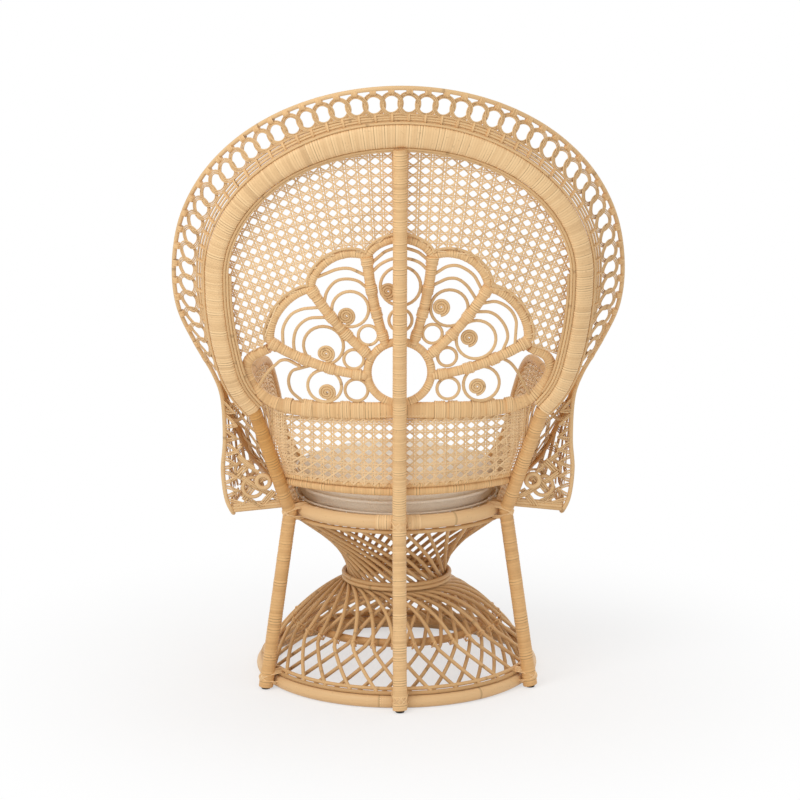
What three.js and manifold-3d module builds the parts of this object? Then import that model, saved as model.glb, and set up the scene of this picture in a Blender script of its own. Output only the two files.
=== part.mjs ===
// Rattan peacock chair: an hourglass base of slanted stakes, wrapped posts, a fan back and a loose cushion.
// Millimetres, +Z up. The chair faces -Y, so its back is at +Y and its left side at +X.
import * as THREE from "three";
import { mergeVertices } from "three/addons/utils/BufferGeometryUtils.js";
import Module from "manifold-3d";

const wasm = await Module();
wasm.setup();

// Driving dimensions
const GAP = 0.3; // clearance between pieces that touch
const RING_STEPS = 40; // facets round each thick hoop
const THIN_RING_STEPS = 24; // facets round the thin rings
const FACET_SLACK = 1.1; // how far a hoop's flat facets lie inside its circle

const BASE_HOOP_RADIUS = 336;
const BASE_HOOP_POLE = 15.5; // radius of the pole, as are all sizes named pole, rod, cane or coil
const SEAT_HOOP_RADIUS = 276;
const SEAT_HOOP_POLE = 17;
const SEAT_HEIGHT = 444; // middle of the seat hoop
const WAIST_RADIUS = 132;
const WAIST_COIL = 5.4;
const WAIST_HEIGHT = 242;
const COIL_BOND = 0.05; // how far the two coils press into each other
const WAIST_CLEAR = 3.5; // room inside the coils for stakes that pass at a slant
const BRACE_ROD = 10;
const BRACE_HEIGHT = 124;

const STAKES = 32;
const STAKE_ROD = 4.6; // half the side of a squared stake
const LINER_ROD = 5.5;
const STAKE_LAYER = 14; // from the middle of the outer stakes to the middle of the inner ones
const STAKE_FILL = 0.8; // most of its share of the circle that a stake may take at the waist
const NECK_RADIUS = 148; // of the stakes part of the way up to the seat
const NECK_RISE = 0.42; // how far up that place is, as a share of the way from the waist to the seat
const DOME_START = 30; // how far past the waist the stakes level out into the dome
const DOME_STEPS = 3;
const DOME_BULGE = 0.55; // how far out the dome's control point lies, as a share of its reach
const LONG_LAG = 10; // degrees that the long stakes hang back from a straight course at the brace ring
const COUNTER_SWING = 17; // degrees that the counter stakes swing past a straight course at the base hoop

const DECK_THICKNESS = 10;
const CUSHION_RADIUS = 255;
const CUSHION_SIDE = 62; // height of the boxed edge
const CUSHION_CROWN = 13;
const CUSHION_STEPS = 3; // facets along each curve of its outline
const CUSHION_TUCK = 7; // how far the edge is drawn in at its seams
const CROWN_SHOULDER = 0.6; // where the crown levels out, as a share of its radius

const POST_POLE = 16.5;
const FOOT_POLE = 17.5; // thicker wrapping at the foot
const FOOT_WRAP_HEIGHT = 60;
const GLIDE_RADIUS = 11;
const GLIDE_HEIGHT = 5;
const SIDE_FOOT_ANGLE = 61; // degrees round from the back
const SIDE_SEAT_ANGLE = 57.8;

const BAND_HALF_WIDTH = 430;
const BAND_WIDEST_HEIGHT = 1048;
const BAND_TOP_HEIGHT = 1390;
const BAND_TOP_DEPTH = 418; // how far behind the seat's middle the band's top lies
const BAND_WIDTH = 62;
const BAND_END_WIDTH = 36;
const BAND_TAPER = 0.62; // where the band starts to narrow, as a share of the way from its top to its end
const BAND_THICKNESS = 33;
const BAND_TURN = 20; // degrees that the band's sides turn towards the front
const BAND_LEG = [
  [429, 980],
  [419, 890],
  [400, 805],
  [376, 752],
  [345, 712],
]; // half-width and height of the band below its widest place

const RIM_ROD = 6;
const RIM_SIDE_REACH = 100; // from the band's middle to the rim's, at the sides
const RIM_TOP_REACH = 110; // the same at the top
const RIM_TOP_SETBACK = 27; // how far the rim's top lies behind the band's
const RIM_SIDE_RISE = 7; // of the rim's widest place above the band's
const RIM_HALF_WIDTH = BAND_HALF_WIDTH + RIM_SIDE_REACH;
const RIM_WIDEST_HEIGHT = BAND_WIDEST_HEIGHT + RIM_SIDE_RISE;
const RIM_TOP_HEIGHT = BAND_TOP_HEIGHT + RIM_TOP_REACH;
const RIM_TOP_DEPTH = BAND_TOP_DEPTH + RIM_TOP_SETBACK;
const RIM_SIDE_DEPTH = 235;
const RIM_LEG = [
  [521, 222, 960],
  [484, 205, 872],
  [440, 195, 790],
  [423, 185, 737],
  [418, 170, 622],
  [424, 160, 545],
  [415, 152, 468],
]; // the rim from its widest place down the wing's rear edge
const WING_CORNER = [402, 150, 440];
const WING_HEM = [
  [404, 60, 431],
  [392, -60, 432],
  [345, -170, 438],
  [270, -247, 443],
]; // the wing's lower edge, forward from its rear corner
const WING_TIP_ANGLE = 138; // degrees round from the back where the rim meets the seat hoop
const BORDER_LOOPS = 54;
const BORDER_THICKNESS = 7;
const BORDER_END_HEIGHT = 812;

const CANE_SHEET = 4;
const MID_RAIL_HEIGHT = 727;
const MID_RAIL_TALL = 40;
const MID_RAIL_DEEP = 22;
const MID_RAIL_CURL = [
  [200, -4],
  [285, 2],
  [328, 26],
  [361, 80],
  [352, 117],
  [307, 145],
]; // half-width of the rail's curled end, and its rise above the rail's middle
const LOWER_RAIL_HEIGHT = 531;
const LOWER_RAIL_TALL = 34;
const LOWER_RAIL_DEEP = 16;

const HUB_RISE = 93; // of the hub's middle above the mid rail's
const HUB_HEIGHT = MID_RAIL_HEIGHT + HUB_RISE;
const HUB_RADIUS = 75;
const HUB_CLOSE = 0.99; // share of that radius by which its ends drop at most, so that they stay apart
const HUB_ROD = 10;
const SHELL_ROD = 11;
const SPOKE_ROD = 11;
const SPOKE_BEND = 0.75; // power of the way along a spoke that its angle goes by
const NOTCH_ANGLES = [15.2, 45.5, 77.4]; // degrees from upright of the notches in the shell
const NOTCH_RADII = [288, 287, 308]; // of the same, from the hub
const PETAL_RADII = [323, 318, 318]; // radius at the top of the petals, from the middle outwards
const PETAL_FULLNESS = 0.6; // the lower, the squarer the petals' shoulders
const SPOKE_START_ANGLES = [25, 60, 96];
const SCROLL_CANE = 4;
const SCROLL_TURNS = 2.4;
const SCROLL_STEPS_PER_TURN = 9;
const SCROLL_EYE = 9; // radius where the coil stops
const SCROLL_PLACE = 0.72; // how far out in its petal a scroll lies
const SCROLL_LEAST = 20; // radius that a scroll is widened from
const LOW_SCROLL_RISE = 41; // of the lowest scrolls' middles above the mid rail
const LOW_SCROLL_REACH = 182; // of the same, sideways from the middle of the chair

const ARM_RAIL_POLE = 10;
const ARM_RAIL = [
  [322, 120, 812],
  [297, -40, 700],
  [287, -120, 610],
  [258, -180, 520],
]; // between the mid rail's curl and the seat hoop
const ARM_RAIL_END_ANGLE = 135;
const ARM_PANEL_THICKNESS = 6;
const ARM_PANEL_ANGLES = [70, 130]; // degrees round from the back of its two ends at the seat hoop
const ARM_PANEL_SPAN = [0.2, 0.94]; // its two ends as shares of the arm rail's length
const WING_POLE = 9;
const WING_POLE_PATH = [
  [428, 185, 768],
  [400, 125, 672],
  [358, 55, 565],
  [325, -20, 505],
];
const WING_POLE_END_ANGLE = 106;
const LACE_THICKNESS = 5;
const LACE_CLEAR = 1.8; // room left beside the rim, as a share of its rod
const WING_SETBACK = 0.05; // where the side lace starts, as a share of the wing pole's length
const GUSSET_SPAN = [0.1, 0.86]; // part of the side post above the seat that the rear lace is tied to
const GUSSET_REACH = 0.82; // part of the rim's rear edge that it reaches
const WING_HEM_SHARE = 0.8; // share of the hem that the side lace covers

const RATTAN = { color: 0xd9ad70, roughness: 0.6, metalness: 0 };
const PEEL = { color: 0xe6c48c, roughness: 0.5, metalness: 0 };
const LINEN = { color: 0xe8dfce, roughness: 0.9, metalness: 0 };
const RUBBER = { color: 0x2b2622, roughness: 0.8, metalness: 0 };

// Geometry helpers
const vec = (x, y, z) => new THREE.Vector3(x, y, z);
const mirrored = (point, side) => vec(side * point[0], point[1], point[2]);
const radians = THREE.MathUtils.degToRad;
const lerp = THREE.MathUtils.lerp;
const aroundBack = (radius, degrees, z) =>
  vec(radius * Math.sin(radians(degrees)), radius * Math.cos(radians(degrees)), z);

function meshGeometry(positions, faces) {
  const geometry = new THREE.BufferGeometry();
  geometry.setAttribute("position", new THREE.Float32BufferAttribute(positions, 3));
  geometry.setIndex(faces);
  return outward(geometry);
}

// Turns a closed surface round if its faces point inwards.
function outward(geometry) {
  const at = geometry.getAttribute("position");
  const index = geometry.index.array;
  const corner = (i) => vec(at.getX(index[i]), at.getY(index[i]), at.getZ(index[i]));
  let volume = 0;
  for (let i = 0; i < index.length; i += 3)
    volume += corner(i).dot(corner(i + 1).cross(corner(i + 2)));
  if (volume < 0)
    for (let i = 0; i < index.length; i += 3)
      [index[i + 1], index[i + 2]] = [index[i + 2], index[i + 1]];
  return geometry;
}

// Closed skin over a row of rings, each with the same number of points.
function skin(rings) {
  const sides = rings[0].length;
  const positions = rings.flat().flatMap((p) => [p.x, p.y, p.z]);
  const faces = [];
  for (let i = 0; i + 1 < rings.length; i++)
    for (let j = 0; j < sides; j++) {
      const a = i * sides + j;
      const b = i * sides + ((j + 1) % sides);
      faces.push(a, b, b + sides, a, b + sides, a + sides);
    }
  const last = (rings.length - 1) * sides;
  for (let j = 1; j + 1 < sides; j++) {
    faces.push(0, j + 1, j);
    faces.push(last, last + j, last + j + 1);
  }
  return meshGeometry(positions, faces);
}

function tangents(points) {
  return points.map((_, i) => {
    const before = points[Math.max(i - 1, 0)];
    const after = points[Math.min(i + 1, points.length - 1)];
    return after.clone().sub(before).normalize();
  });
}

// Bar along a path. across(i) is the direction of the section's width; size(i) its half width and half depth.
function bar(points, sides, across, size) {
  const along = tangents(points);
  const turn = sides === 4 ? Math.PI / 4 : 0;
  const stretch = sides === 4 ? Math.SQRT2 : 1;
  return skin(
    points.map((p, i) => {
      const depth = along[i].clone().cross(across(i)).normalize();
      const width = depth.clone().cross(along[i]).normalize();
      const [halfWidth, halfDepth] = size(i);
      return Array.from({ length: sides }, (_, k) => {
        const a = turn + (2 * Math.PI * k) / sides;
        return p
          .clone()
          .addScaledVector(width, stretch * halfWidth * Math.cos(a))
          .addScaledVector(depth, stretch * halfDepth * Math.sin(a));
      });
    }),
  );
}

// Round rod along a path, with its section carried along without twist.
function rod(points, radius, sides) {
  const along = tangents(points);
  const least = Math.abs(along[0].z) < 0.8 ? vec(0, 0, 1) : vec(0, 1, 0);
  const normals = [along[0].clone().cross(least).normalize()];
  for (let i = 1; i < points.length; i++) {
    const carried = normals[i - 1].clone();
    carried.addScaledVector(along[i], -carried.dot(along[i])).normalize();
    normals.push(carried);
  }
  const radiusAt = typeof radius === "function" ? radius : () => radius;
  return bar(points, sides, (i) => normals[i], (i) => [radiusAt(i), radiusAt(i)]);
}

// Point a share t of the way between two places, clear of what lies round each of them.
function between(from, to, t, clearFrom, clearTo) {
  const span = from.distanceTo(to);
  return from.clone().lerp(to, lerp((clearFrom + GAP) / span, 1 - (clearTo + GAP) / span, t));
}

const curveThrough = (points) => new THREE.CatmullRomCurve3(points, false, "centripetal");
const smooth = (points, steps) => curveThrough(points).getSpacedPoints(steps);

// Solid layer over a grid of cells; keep(i, j) tells which cells are solid, so that the others are holes.
// point and facing give the place and the outward direction of a grid corner. A wrapped grid closes round.
function lattice({ columns, rows, point, facing, thickness, keep = () => true, wrap = false }) {
  const corners = wrap ? columns : columns + 1;
  const count = corners * (rows + 1);
  const place = (i, j) => (i % corners) * (rows + 1) + j;
  const positions = [];
  for (const half of [thickness / 2, -thickness / 2])
    for (let i = 0; i < corners; i++)
      for (let j = 0; j <= rows; j++) {
        const p = point(i, j).addScaledVector(facing(i, j), half);
        positions.push(p.x, p.y, p.z);
      }
  const inside = (i, j) => j >= 0 && j < rows && (wrap || (i >= 0 && i < columns));
  const solid = (i, j) => inside(i, j) && keep((i + columns) % columns, j);
  const faces = [];
  const quad = (a, b, c, d) => faces.push(a, b, c, a, c, d);
  for (let i = 0; i < columns; i++)
    for (let j = 0; j < rows; j++) {
      if (!solid(i, j)) continue;
      const [a, b, c, d] = [place(i, j), place(i + 1, j), place(i + 1, j + 1), place(i, j + 1)];
      quad(a, b, c, d);
      quad(a + count, d + count, c + count, b + count);
      if (!solid(i, j - 1)) quad(b, a, a + count, b + count);
      if (!solid(i + 1, j)) quad(c, b, b + count, c + count);
      if (!solid(i, j + 1)) quad(d, c, c + count, d + count);
      if (!solid(i - 1, j)) quad(a, d, d + count, a + count);
    }
  return meshGeometry(positions, faces);
}

// Layer over a surface given by a function of two shares, u along and v across.
function sheet(columns, rows, at, thickness, keep) {
  const step = 1e-3;
  const facing = (i, j) => {
    const [u, v] = [i / columns, j / rows];
    const du = at(u + step, v).sub(at(u - step, v));
    const dv = at(u, v + step).sub(at(u, v - step));
    return du.cross(dv).normalize();
  };
  const point = (i, j) => at(i / columns, j / rows);
  return lattice({ columns, rows, point, facing, thickness, keep });
}

// Ring about the Z axis with a round section that is flat at its top and bottom.
function hoop(radius, pole, height, sides = 8, steps = RING_STEPS) {
  const reach = pole / Math.cos(Math.PI / sides);
  const offset = sides % 4 === 0 ? 0.5 : 0;
  const profile = Array.from({ length: sides + 1 }, (_, k) => {
    const a = (2 * Math.PI * (k + offset)) / sides;
    return new THREE.Vector2(radius + reach * Math.cos(a), height + reach * Math.sin(a));
  });
  return turned(profile, steps);
}

// Lathe about the Z axis; the profile gives radius and height.
function turned(profile, steps = RING_STEPS) {
  const geometry = new THREE.LatheGeometry(profile, steps);
  geometry.rotateX(Math.PI / 2);
  geometry.scale(1, -1, 1);
  return outward(welded(geometry));
}

function welded(geometry) {
  const bare = geometry.clone();
  bare.deleteAttribute("normal");
  bare.deleteAttribute("uv");
  const merged = mergeVertices(bare, 1e-3);
  const index = Array.from(merged.index.array);
  const kept = [];
  for (let i = 0; i < index.length; i += 3) {
    const [a, b, c] = index.slice(i, i + 3);
    if (a !== b && b !== c && c !== a) kept.push(a, b, c);
  }
  merged.setIndex(kept);
  return merged;
}

function solidOf(geometry) {
  const merged = welded(geometry);
  return new wasm.Manifold(
    new wasm.Mesh({
      numProp: 3,
      vertProperties: new Float32Array(merged.getAttribute("position").array),
      triVerts: new Uint32Array(merged.index.array),
    }),
  );
}

function geometryOf(solid) {
  const mesh = solid.getMesh();
  return meshGeometry(Array.from(mesh.vertProperties), Array.from(mesh.triVerts));
}

const joined = (...pieces) => geometryOf(pieces.map(solidOf).reduce((a, b) => a.add(b)));

// Cuts a piece with its neighbours and keeps the largest part, without the offcuts.
function cutBy(piece, ...tools) {
  const rest = tools.map(solidOf).reduce((left, tool) => left.subtract(tool), solidOf(piece));
  const parts = rest.decompose();
  return geometryOf(parts.reduce((a, b) => (a.volume() > b.volume() ? a : b)));
}

// Largest radius at which a piece still lies clear of its neighbours.
function widest(radius, make, neighbours) {
  const around = solidOf(joined(...neighbours));
  while (around.intersect(solidOf(make(radius + GAP, GAP))).isEmpty()) radius += GAP;
  return radius;
}

const chair = new THREE.Group();
chair.name = "peacock_chair";
function add(name, geometry, look) {
  geometry.computeVertexNormals();
  const mesh = new THREE.Mesh(geometry, new THREE.MeshStandardMaterial(look));
  mesh.name = name;
  chair.add(mesh);
}
const SIDES = [
  ["left", 1],
  ["right", -1],
];

// Back surface: the spine and the two side posts lean back, and the surface is dished between them.
const SEAT_POST_REACH = SEAT_HOOP_RADIUS + SEAT_HOOP_POLE + POST_POLE + GAP;
const sideSeat = aroundBack(SEAT_POST_REACH, SIDE_SEAT_ANGLE, SEAT_HEIGHT);
const rise = (z) => (z - SEAT_HEIGHT) / (BAND_TOP_HEIGHT - SEAT_HEIGHT);
const spineDepth = (z) => lerp(SEAT_POST_REACH, BAND_TOP_DEPTH, rise(z));
const frameDepth = (z) => lerp(sideSeat.y, BAND_TOP_DEPTH, rise(z));

const bandOutline = new THREE.Path();
bandOutline.moveTo(0, BAND_TOP_HEIGHT);
bandOutline.absellipse(
  0, BAND_WIDEST_HEIGHT, BAND_HALF_WIDTH, BAND_TOP_HEIGHT - BAND_WIDEST_HEIGHT, Math.PI / 2, 0, true,
);
bandOutline.splineThru(BAND_LEG.map(([x, z]) => new THREE.Vector2(x, z)));
const BAND_STEPS = 24;
const bandHalf = bandOutline.getSpacedPoints(BAND_STEPS);
const bandEnd = bandHalf[BAND_STEPS];

// Half-width of the frame at a height: the band above its lower end, the side post below it.
function frameHalfWidth(z) {
  if (z <= bandEnd.y) return lerp(sideSeat.x, bandEnd.x, (z - SEAT_HEIGHT) / (bandEnd.y - SEAT_HEIGHT));
  const i = bandHalf.findIndex((p) => p.y <= z);
  const [above, below] = [bandHalf[Math.max(i - 1, 0)], bandHalf[i]];
  return lerp(below.x, above.x, (z - below.y) / Math.max(above.y - below.y, 1e-6));
}
function onBack(x, z, forward = 0) {
  const spread = Math.abs(x) / Math.max(frameHalfWidth(z), SHELL_ROD);
  return vec(x, lerp(spineDepth(z), frameDepth(z), spread * spread) - forward, z);
}
const spineLean = (BAND_TOP_DEPTH - SEAT_POST_REACH) / (BAND_TOP_HEIGHT - SEAT_HEIGHT);
const inFrontOfSpine = (deep, tall = 0) => POST_POLE + GAP + deep / 2 + (spineLean * tall) / 2;
const FAN_FORWARD = inFrontOfSpine(2 * SHELL_ROD, SHELL_ROD);
const CANE_FORWARD = inFrontOfSpine(CANE_SHEET);
const RAIL_FORWARD = inFrontOfSpine(MID_RAIL_DEEP, MID_RAIL_TALL);
const LOWER_RAIL_FORWARD = inFrontOfSpine(LOWER_RAIL_DEEP, LOWER_RAIL_TALL);

// Hoops of the base and the seat
const baseHoop = (grow = 0) => hoop(BASE_HOOP_RADIUS, BASE_HOOP_POLE + grow, BASE_HOOP_POLE);
const seatHoop = (grow = 0) => hoop(SEAT_HOOP_RADIUS, SEAT_HOOP_POLE + grow, SEAT_HEIGHT);
add("base_hoop", baseHoop(), RATTAN);
add("seat_hoop", seatHoop(), RATTAN);

// Two coils, one on the other, round the stakes' waist
const waistCoils = [-1, 1].map((level) =>
  hoop(WAIST_RADIUS, WAIST_COIL + COIL_BOND, WAIST_HEIGHT + level * WAIST_COIL, 6, THIN_RING_STEPS),
);
add("waist_ring", joined(...waistCoils), PEEL);

// Stakes: each touches the waist circle and is straight in plan, but for its swing at the brace ring and the
// base hoop. reach is the way along it from the waist, and a profile gives reach and height from the stakes'
// first liner cane to their last.
const waistOfStakes = WAIST_RADIUS - WAIST_COIL - WAIST_CLEAR - STAKE_ROD;
const innerWaist = waistOfStakes - STAKE_LAYER;
const reachTo = (radius, waist) => Math.sqrt(radius * radius - waist * waist);
const linerCorner = Math.hypot(LINER_ROD, STAKE_ROD);
const seatLinerHeight = SEAT_HEIGHT - SEAT_HOOP_POLE - GAP - linerCorner;
const baseLinerHeight = 2 * BASE_HOOP_POLE + GAP + linerCorner;
const innerLinerRadius = BASE_HOOP_RADIUS - BASE_HOOP_POLE - GAP - 2 * FACET_SLACK - LINER_ROD;
const innerLinerHeight = BASE_HOOP_POLE + LINER_ROD;

// One family of stakes, in one piece with the liner canes at its ends. hand is the way the stakes turn, and
// the swings are the degrees added to that turn at the brace ring and at the stakes' lower end.
function stakes(profile, waist, hand, braceSwing, endSwing) {
  const lowest = profile[profile.length - 1].y;
  const swing = (z) => {
    if (z < BRACE_HEIGHT) return lerp(endSwing, braceSwing, (z - lowest) / (BRACE_HEIGHT - lowest));
    return lerp(braceSwing, 0, Math.min((z - BRACE_HEIGHT) / (WAIST_HEIGHT - BRACE_HEIGHT), 1));
  };
  const turnTo = ({ x: reach, y: z }) => Math.atan2(reach, waist) + THREE.MathUtils.degToRad(swing(z));
  const turn = (j) => hand * turnTo(profile[j]);
  const radiusAt = (j) => Math.hypot(waist, profile[j].x);
  const along = (j) => {
    const way = profile[Math.min(j + 1, profile.length - 1)].clone().sub(profile[Math.max(j - 1, 0)]);
    return way.normalize();
  };
  const point = (i, j) => {
    const [above, below] = [Math.max(j - 1, 0), Math.min(j + 1, profile.length - 1)];
    const radius = radiusAt(j);
    const climb = Math.hypot(profile[above].y - profile[below].y, radiusAt(above) - radiusAt(below));
    const lean = climb / Math.hypot(climb, radius * (turn(above) - turn(below)));
    const halfAngle = Math.min(STAKE_ROD / lean / radius, STAKE_FILL * (Math.PI / STAKES));
    const edge = i % 2 === 0 ? -halfAngle : halfAngle;
    const a = (2 * Math.PI * Math.floor(i / 2)) / STAKES + turn(j) + edge;
    return aroundBack(radius, THREE.MathUtils.radToDeg(a), profile[j].y);
  };
  const facing = (i, j) => {
    const { x: reach } = profile[j];
    const out = new THREE.Vector2(-along(j).y, (along(j).x * reach) / Math.hypot(waist, reach)).normalize();
    const p = point(i, j);
    const flat = Math.hypot(p.x, p.y);
    return vec((p.x / flat) * out.x, (p.y / flat) * out.x, out.y);
  };
  const rows = profile.length - 1;
  const keep = (i, j) => i % 2 === 0 || j === 0 || j === rows - 1;
  return lattice({ columns: 2 * STAKES, rows, point, facing, thickness: 2 * STAKE_ROD, keep, wrap: true });
}

// Adds the two edges of a liner cane to each end of a profile.
function withLiners(points) {
  const edge = (end, next) => next.clone().sub(end).setLength(LINER_ROD);
  const last = points.length - 1;
  const [first, second] = [edge(points[0], points[1]), edge(points[last], points[last - 1])];
  return [
    points[0].clone().sub(first), points[0].clone().add(first), ...points.slice(1, last),
    points[last].clone().add(second), points[last].clone().sub(second),
  ];
}

// Profile of the dome, from just under the waist ring to the liner cane on the base hoop
function domeProfile(waist, drop, endRadius, endHeight) {
  const end = new THREE.Vector2(reachTo(endRadius, waist), endHeight);
  const start = new THREE.Vector2(DOME_START, WAIST_HEIGHT - 2 * WAIST_COIL - drop);
  const bulge = new THREE.Vector2(end.x * DOME_BULGE, start.y - WAIST_COIL);
  return new THREE.QuadraticBezierCurve(start, bulge, end).getPoints(DOME_STEPS);
}
const outerDome = domeProfile(waistOfStakes, STAKE_ROD, BASE_HOOP_RADIUS, baseLinerHeight);
const innerDome = domeProfile(innerWaist, STAKE_ROD + STAKE_LAYER / 2, innerLinerRadius, innerLinerHeight);
const neck = [
  new THREE.Vector2(-reachTo(SEAT_HOOP_RADIUS, waistOfStakes), seatLinerHeight),
  new THREE.Vector2(-reachTo(NECK_RADIUS, waistOfStakes), lerp(WAIST_HEIGHT, seatLinerHeight, NECK_RISE)),
  new THREE.Vector2(0, WAIST_HEIGHT),
];
add("long_stakes", stakes(withLiners([...neck, ...outerDome]), waistOfStakes, -1, -LONG_LAG, 0), RATTAN);
const counterStakes = stakes(withLiners(innerDome), innerWaist, 1, 0, COUNTER_SWING);
add("counter_stakes", counterStakes, RATTAN);

// Brace ring under the crossing stakes: the widest one that the dome leaves room for at its height
const braceRing = (radius, grow = 0) => hoop(radius, BRACE_ROD + grow, BRACE_HEIGHT, 6, THIN_RING_STEPS);
add("brace_ring", braceRing(widest(WAIST_RADIUS, braceRing, [counterStakes])), RATTAN);

// Seat deck and cushion
const deckTop = SEAT_HEIGHT + DECK_THICKNESS / 2;
const deckRadius = SEAT_HOOP_RADIUS - SEAT_HOOP_POLE - GAP;
add(
  "seat_deck",
  turned([
    new THREE.Vector2(0, deckTop - DECK_THICKNESS),
    new THREE.Vector2(deckRadius, deckTop - DECK_THICKNESS),
    new THREE.Vector2(deckRadius, deckTop),
    new THREE.Vector2(0, deckTop),
  ]),
  PEEL,
);
const cushionBase = deckTop + GAP;
const seam = CUSHION_RADIUS - CUSHION_TUCK;
const cushionProfile = new THREE.Path();
cushionProfile.moveTo(0, cushionBase);
cushionProfile.lineTo(seam - 2 * CUSHION_TUCK, cushionBase);
cushionProfile.quadraticCurveTo(seam, cushionBase, seam, cushionBase + CUSHION_TUCK);
cushionProfile.quadraticCurveTo(
  CUSHION_RADIUS + CUSHION_TUCK, cushionBase + CUSHION_TUCK + CUSHION_SIDE / 2,
  seam, cushionBase + CUSHION_TUCK + CUSHION_SIDE,
);
const crownTop = cushionBase + CUSHION_TUCK + CUSHION_SIDE + CUSHION_CROWN;
cushionProfile.quadraticCurveTo(CROWN_SHOULDER * seam, crownTop, 0, crownTop);
add("seat_cushion", turned(cushionProfile.getPoints(CUSHION_STEPS)), LINEN);

// Posts and their glides
const hoopReach = BASE_HOOP_RADIUS + BASE_HOOP_POLE + FOOT_POLE + GAP;
const FOOT_REACH =
  hoopReach + ((hoopReach - SEAT_POST_REACH) * BASE_HOOP_POLE) / (SEAT_HEIGHT - BASE_HOOP_POLE);
const footWrap = (p) => (p.z < FOOT_WRAP_HEIGHT ? FOOT_POLE : POST_POLE);
function post(path, grow = 0) {
  return rod(path, (i) => footWrap(path[i]) + grow, 10);
}
const legOf = (foot, knee) =>
  [0, FOOT_WRAP_HEIGHT - GAP, FOOT_WRAP_HEIGHT + GAP].map((z) => foot.clone().lerp(knee, z / knee.z));
const floorBlock = new THREE.BoxGeometry(3 * FOOT_REACH, 3 * FOOT_REACH, FOOT_POLE);
floorBlock.translate(0, 0, GLIDE_HEIGHT + GAP - FOOT_POLE / 2);
const spineFoot = vec(0, FOOT_REACH, 0);
const spinePath = [
  ...legOf(spineFoot, vec(0, SEAT_POST_REACH, SEAT_HEIGHT)),
  vec(0, SEAT_POST_REACH, SEAT_HEIGHT),
  vec(0, spineDepth(BAND_TOP_HEIGHT), BAND_TOP_HEIGHT),
];
const sidePath = (side) => {
  const foot = aroundBack(FOOT_REACH, side * SIDE_FOOT_ANGLE, 0);
  const knee = vec(side * sideSeat.x, sideSeat.y, SEAT_HEIGHT);
  const head = vec(side * bandEnd.x, frameDepth(bandEnd.y), bandEnd.y + BAND_END_WIDTH / 4);
  return [...legOf(foot, knee), knee, head];
};

// Wrapped band, a horseshoe that carries on from the side posts
const bandOutward = bandHalf.map((p, i) => {
  const before = bandHalf[Math.max(i - 1, 0)];
  const after = bandHalf[Math.min(i + 1, BAND_STEPS)];
  const along = after.clone().sub(before).normalize();
  const lean = (BAND_TOP_DEPTH - sideSeat.y) / (BAND_TOP_HEIGHT - SEAT_HEIGHT);
  const out = i === 0 ? new THREE.Vector2(0, 1) : new THREE.Vector2(-along.y, along.x);
  return vec(out.x, out.y * lean - out.x * out.x * Math.tan(radians(BAND_TURN)), out.y).normalize();
});
const bandWidthAt = (i) =>
  lerp(BAND_WIDTH, BAND_END_WIDTH, THREE.MathUtils.smoothstep(i, BAND_STEPS * BAND_TAPER, BAND_STEPS));
const bandCentre = (i) => vec(bandHalf[i].x, frameDepth(bandHalf[i].y), bandHalf[i].y);
const mirrorX = (p, side) => vec(side * p.x, p.y, p.z);
const bandStations = [
  ...bandHalf.map((_, i) => [BAND_STEPS - i, 1]),
  ...bandHalf.slice(1).map((_, i) => [i + 1, -1]),
];
function band(grow = 0) {
  return bar(
    bandStations.map(([i, side]) => mirrorX(bandCentre(i), side)),
    6,
    (n) => mirrorX(bandOutward[bandStations[n][0]], bandStations[n][1]),
    (n) => [bandWidthAt(bandStations[n][0]) / 2 + grow, BAND_THICKNESS / 2 / Math.cos(Math.PI / 6) + grow],
  );
}
add("back_band", band(), PEEL);
add("rear_centre_post", cutBy(post(spinePath), band(GAP), floorBlock), PEEL);
for (const [label, side] of SIDES)
  add(`rear_${label}_post`, cutBy(post(sidePath(side)), band(GAP), floorBlock), PEEL);
for (const [label, angle] of [["centre", 0], ["left", SIDE_FOOT_ANGLE], ["right", -SIDE_FOOT_ANGLE]]) {
  const glide = new THREE.CylinderGeometry(GLIDE_RADIUS, GLIDE_RADIUS, GLIDE_HEIGHT, 16);
  const place = aroundBack(FOOT_REACH, angle, GLIDE_HEIGHT / 2);
  glide.rotateX(Math.PI / 2).translate(place.x, place.y, place.z);
  add(`${label}_glide`, outward(welded(glide)), RUBBER);
}

// Mid rail, with ends that curl up into the shell, and the double lower rail
const midRailHalf = smooth(
  [[0, 0], ...MID_RAIL_CURL].map(([x, up]) => vec(x, 0, MID_RAIL_HEIGHT + up)),
  16,
);
const midRailPath = [
  ...midRailHalf.map((p) => onBack(-p.x, p.z, RAIL_FORWARD)).reverse(),
  ...midRailHalf.slice(1).map((p) => onBack(p.x, p.z, RAIL_FORWARD)),
];
const midRailTall = ({ x }) => {
  const taper = THREE.MathUtils.smoothstep(Math.abs(x), MID_RAIL_CURL[0][0], MID_RAIL_CURL[2][0]);
  return lerp(MID_RAIL_TALL, 2 * SHELL_ROD, taper);
};
function midRail(grow = 0) {
  return bar(
    midRailPath,
    4,
    () => vec(0, 1, 0),
    (i) => [MID_RAIL_DEEP / 2 + grow, midRailTall(midRailPath[i]) / 2 + grow],
  );
}
add("mid_rail", midRail(), PEEL);

const lowerRailEnd = frameHalfWidth(LOWER_RAIL_HEIGHT);
const LOWER_RAIL_STEPS = 16;
const lowerRailPath = Array.from({ length: LOWER_RAIL_STEPS + 1 }, (_, i) =>
  onBack(lerp(-lowerRailEnd, lowerRailEnd, i / LOWER_RAIL_STEPS), LOWER_RAIL_HEIGHT, LOWER_RAIL_FORWARD),
);
function lowerRail(grow = 0) {
  const size = [LOWER_RAIL_DEEP / 2 + grow, LOWER_RAIL_TALL / 2 + grow];
  return bar(lowerRailPath, 4, () => vec(0, 1, 0), () => size);
}
const sidePosts = SIDES.map(([, side]) => post(sidePath(side), GAP));
add("lower_rail", cutBy(lowerRail(), ...sidePosts), PEEL);

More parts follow.
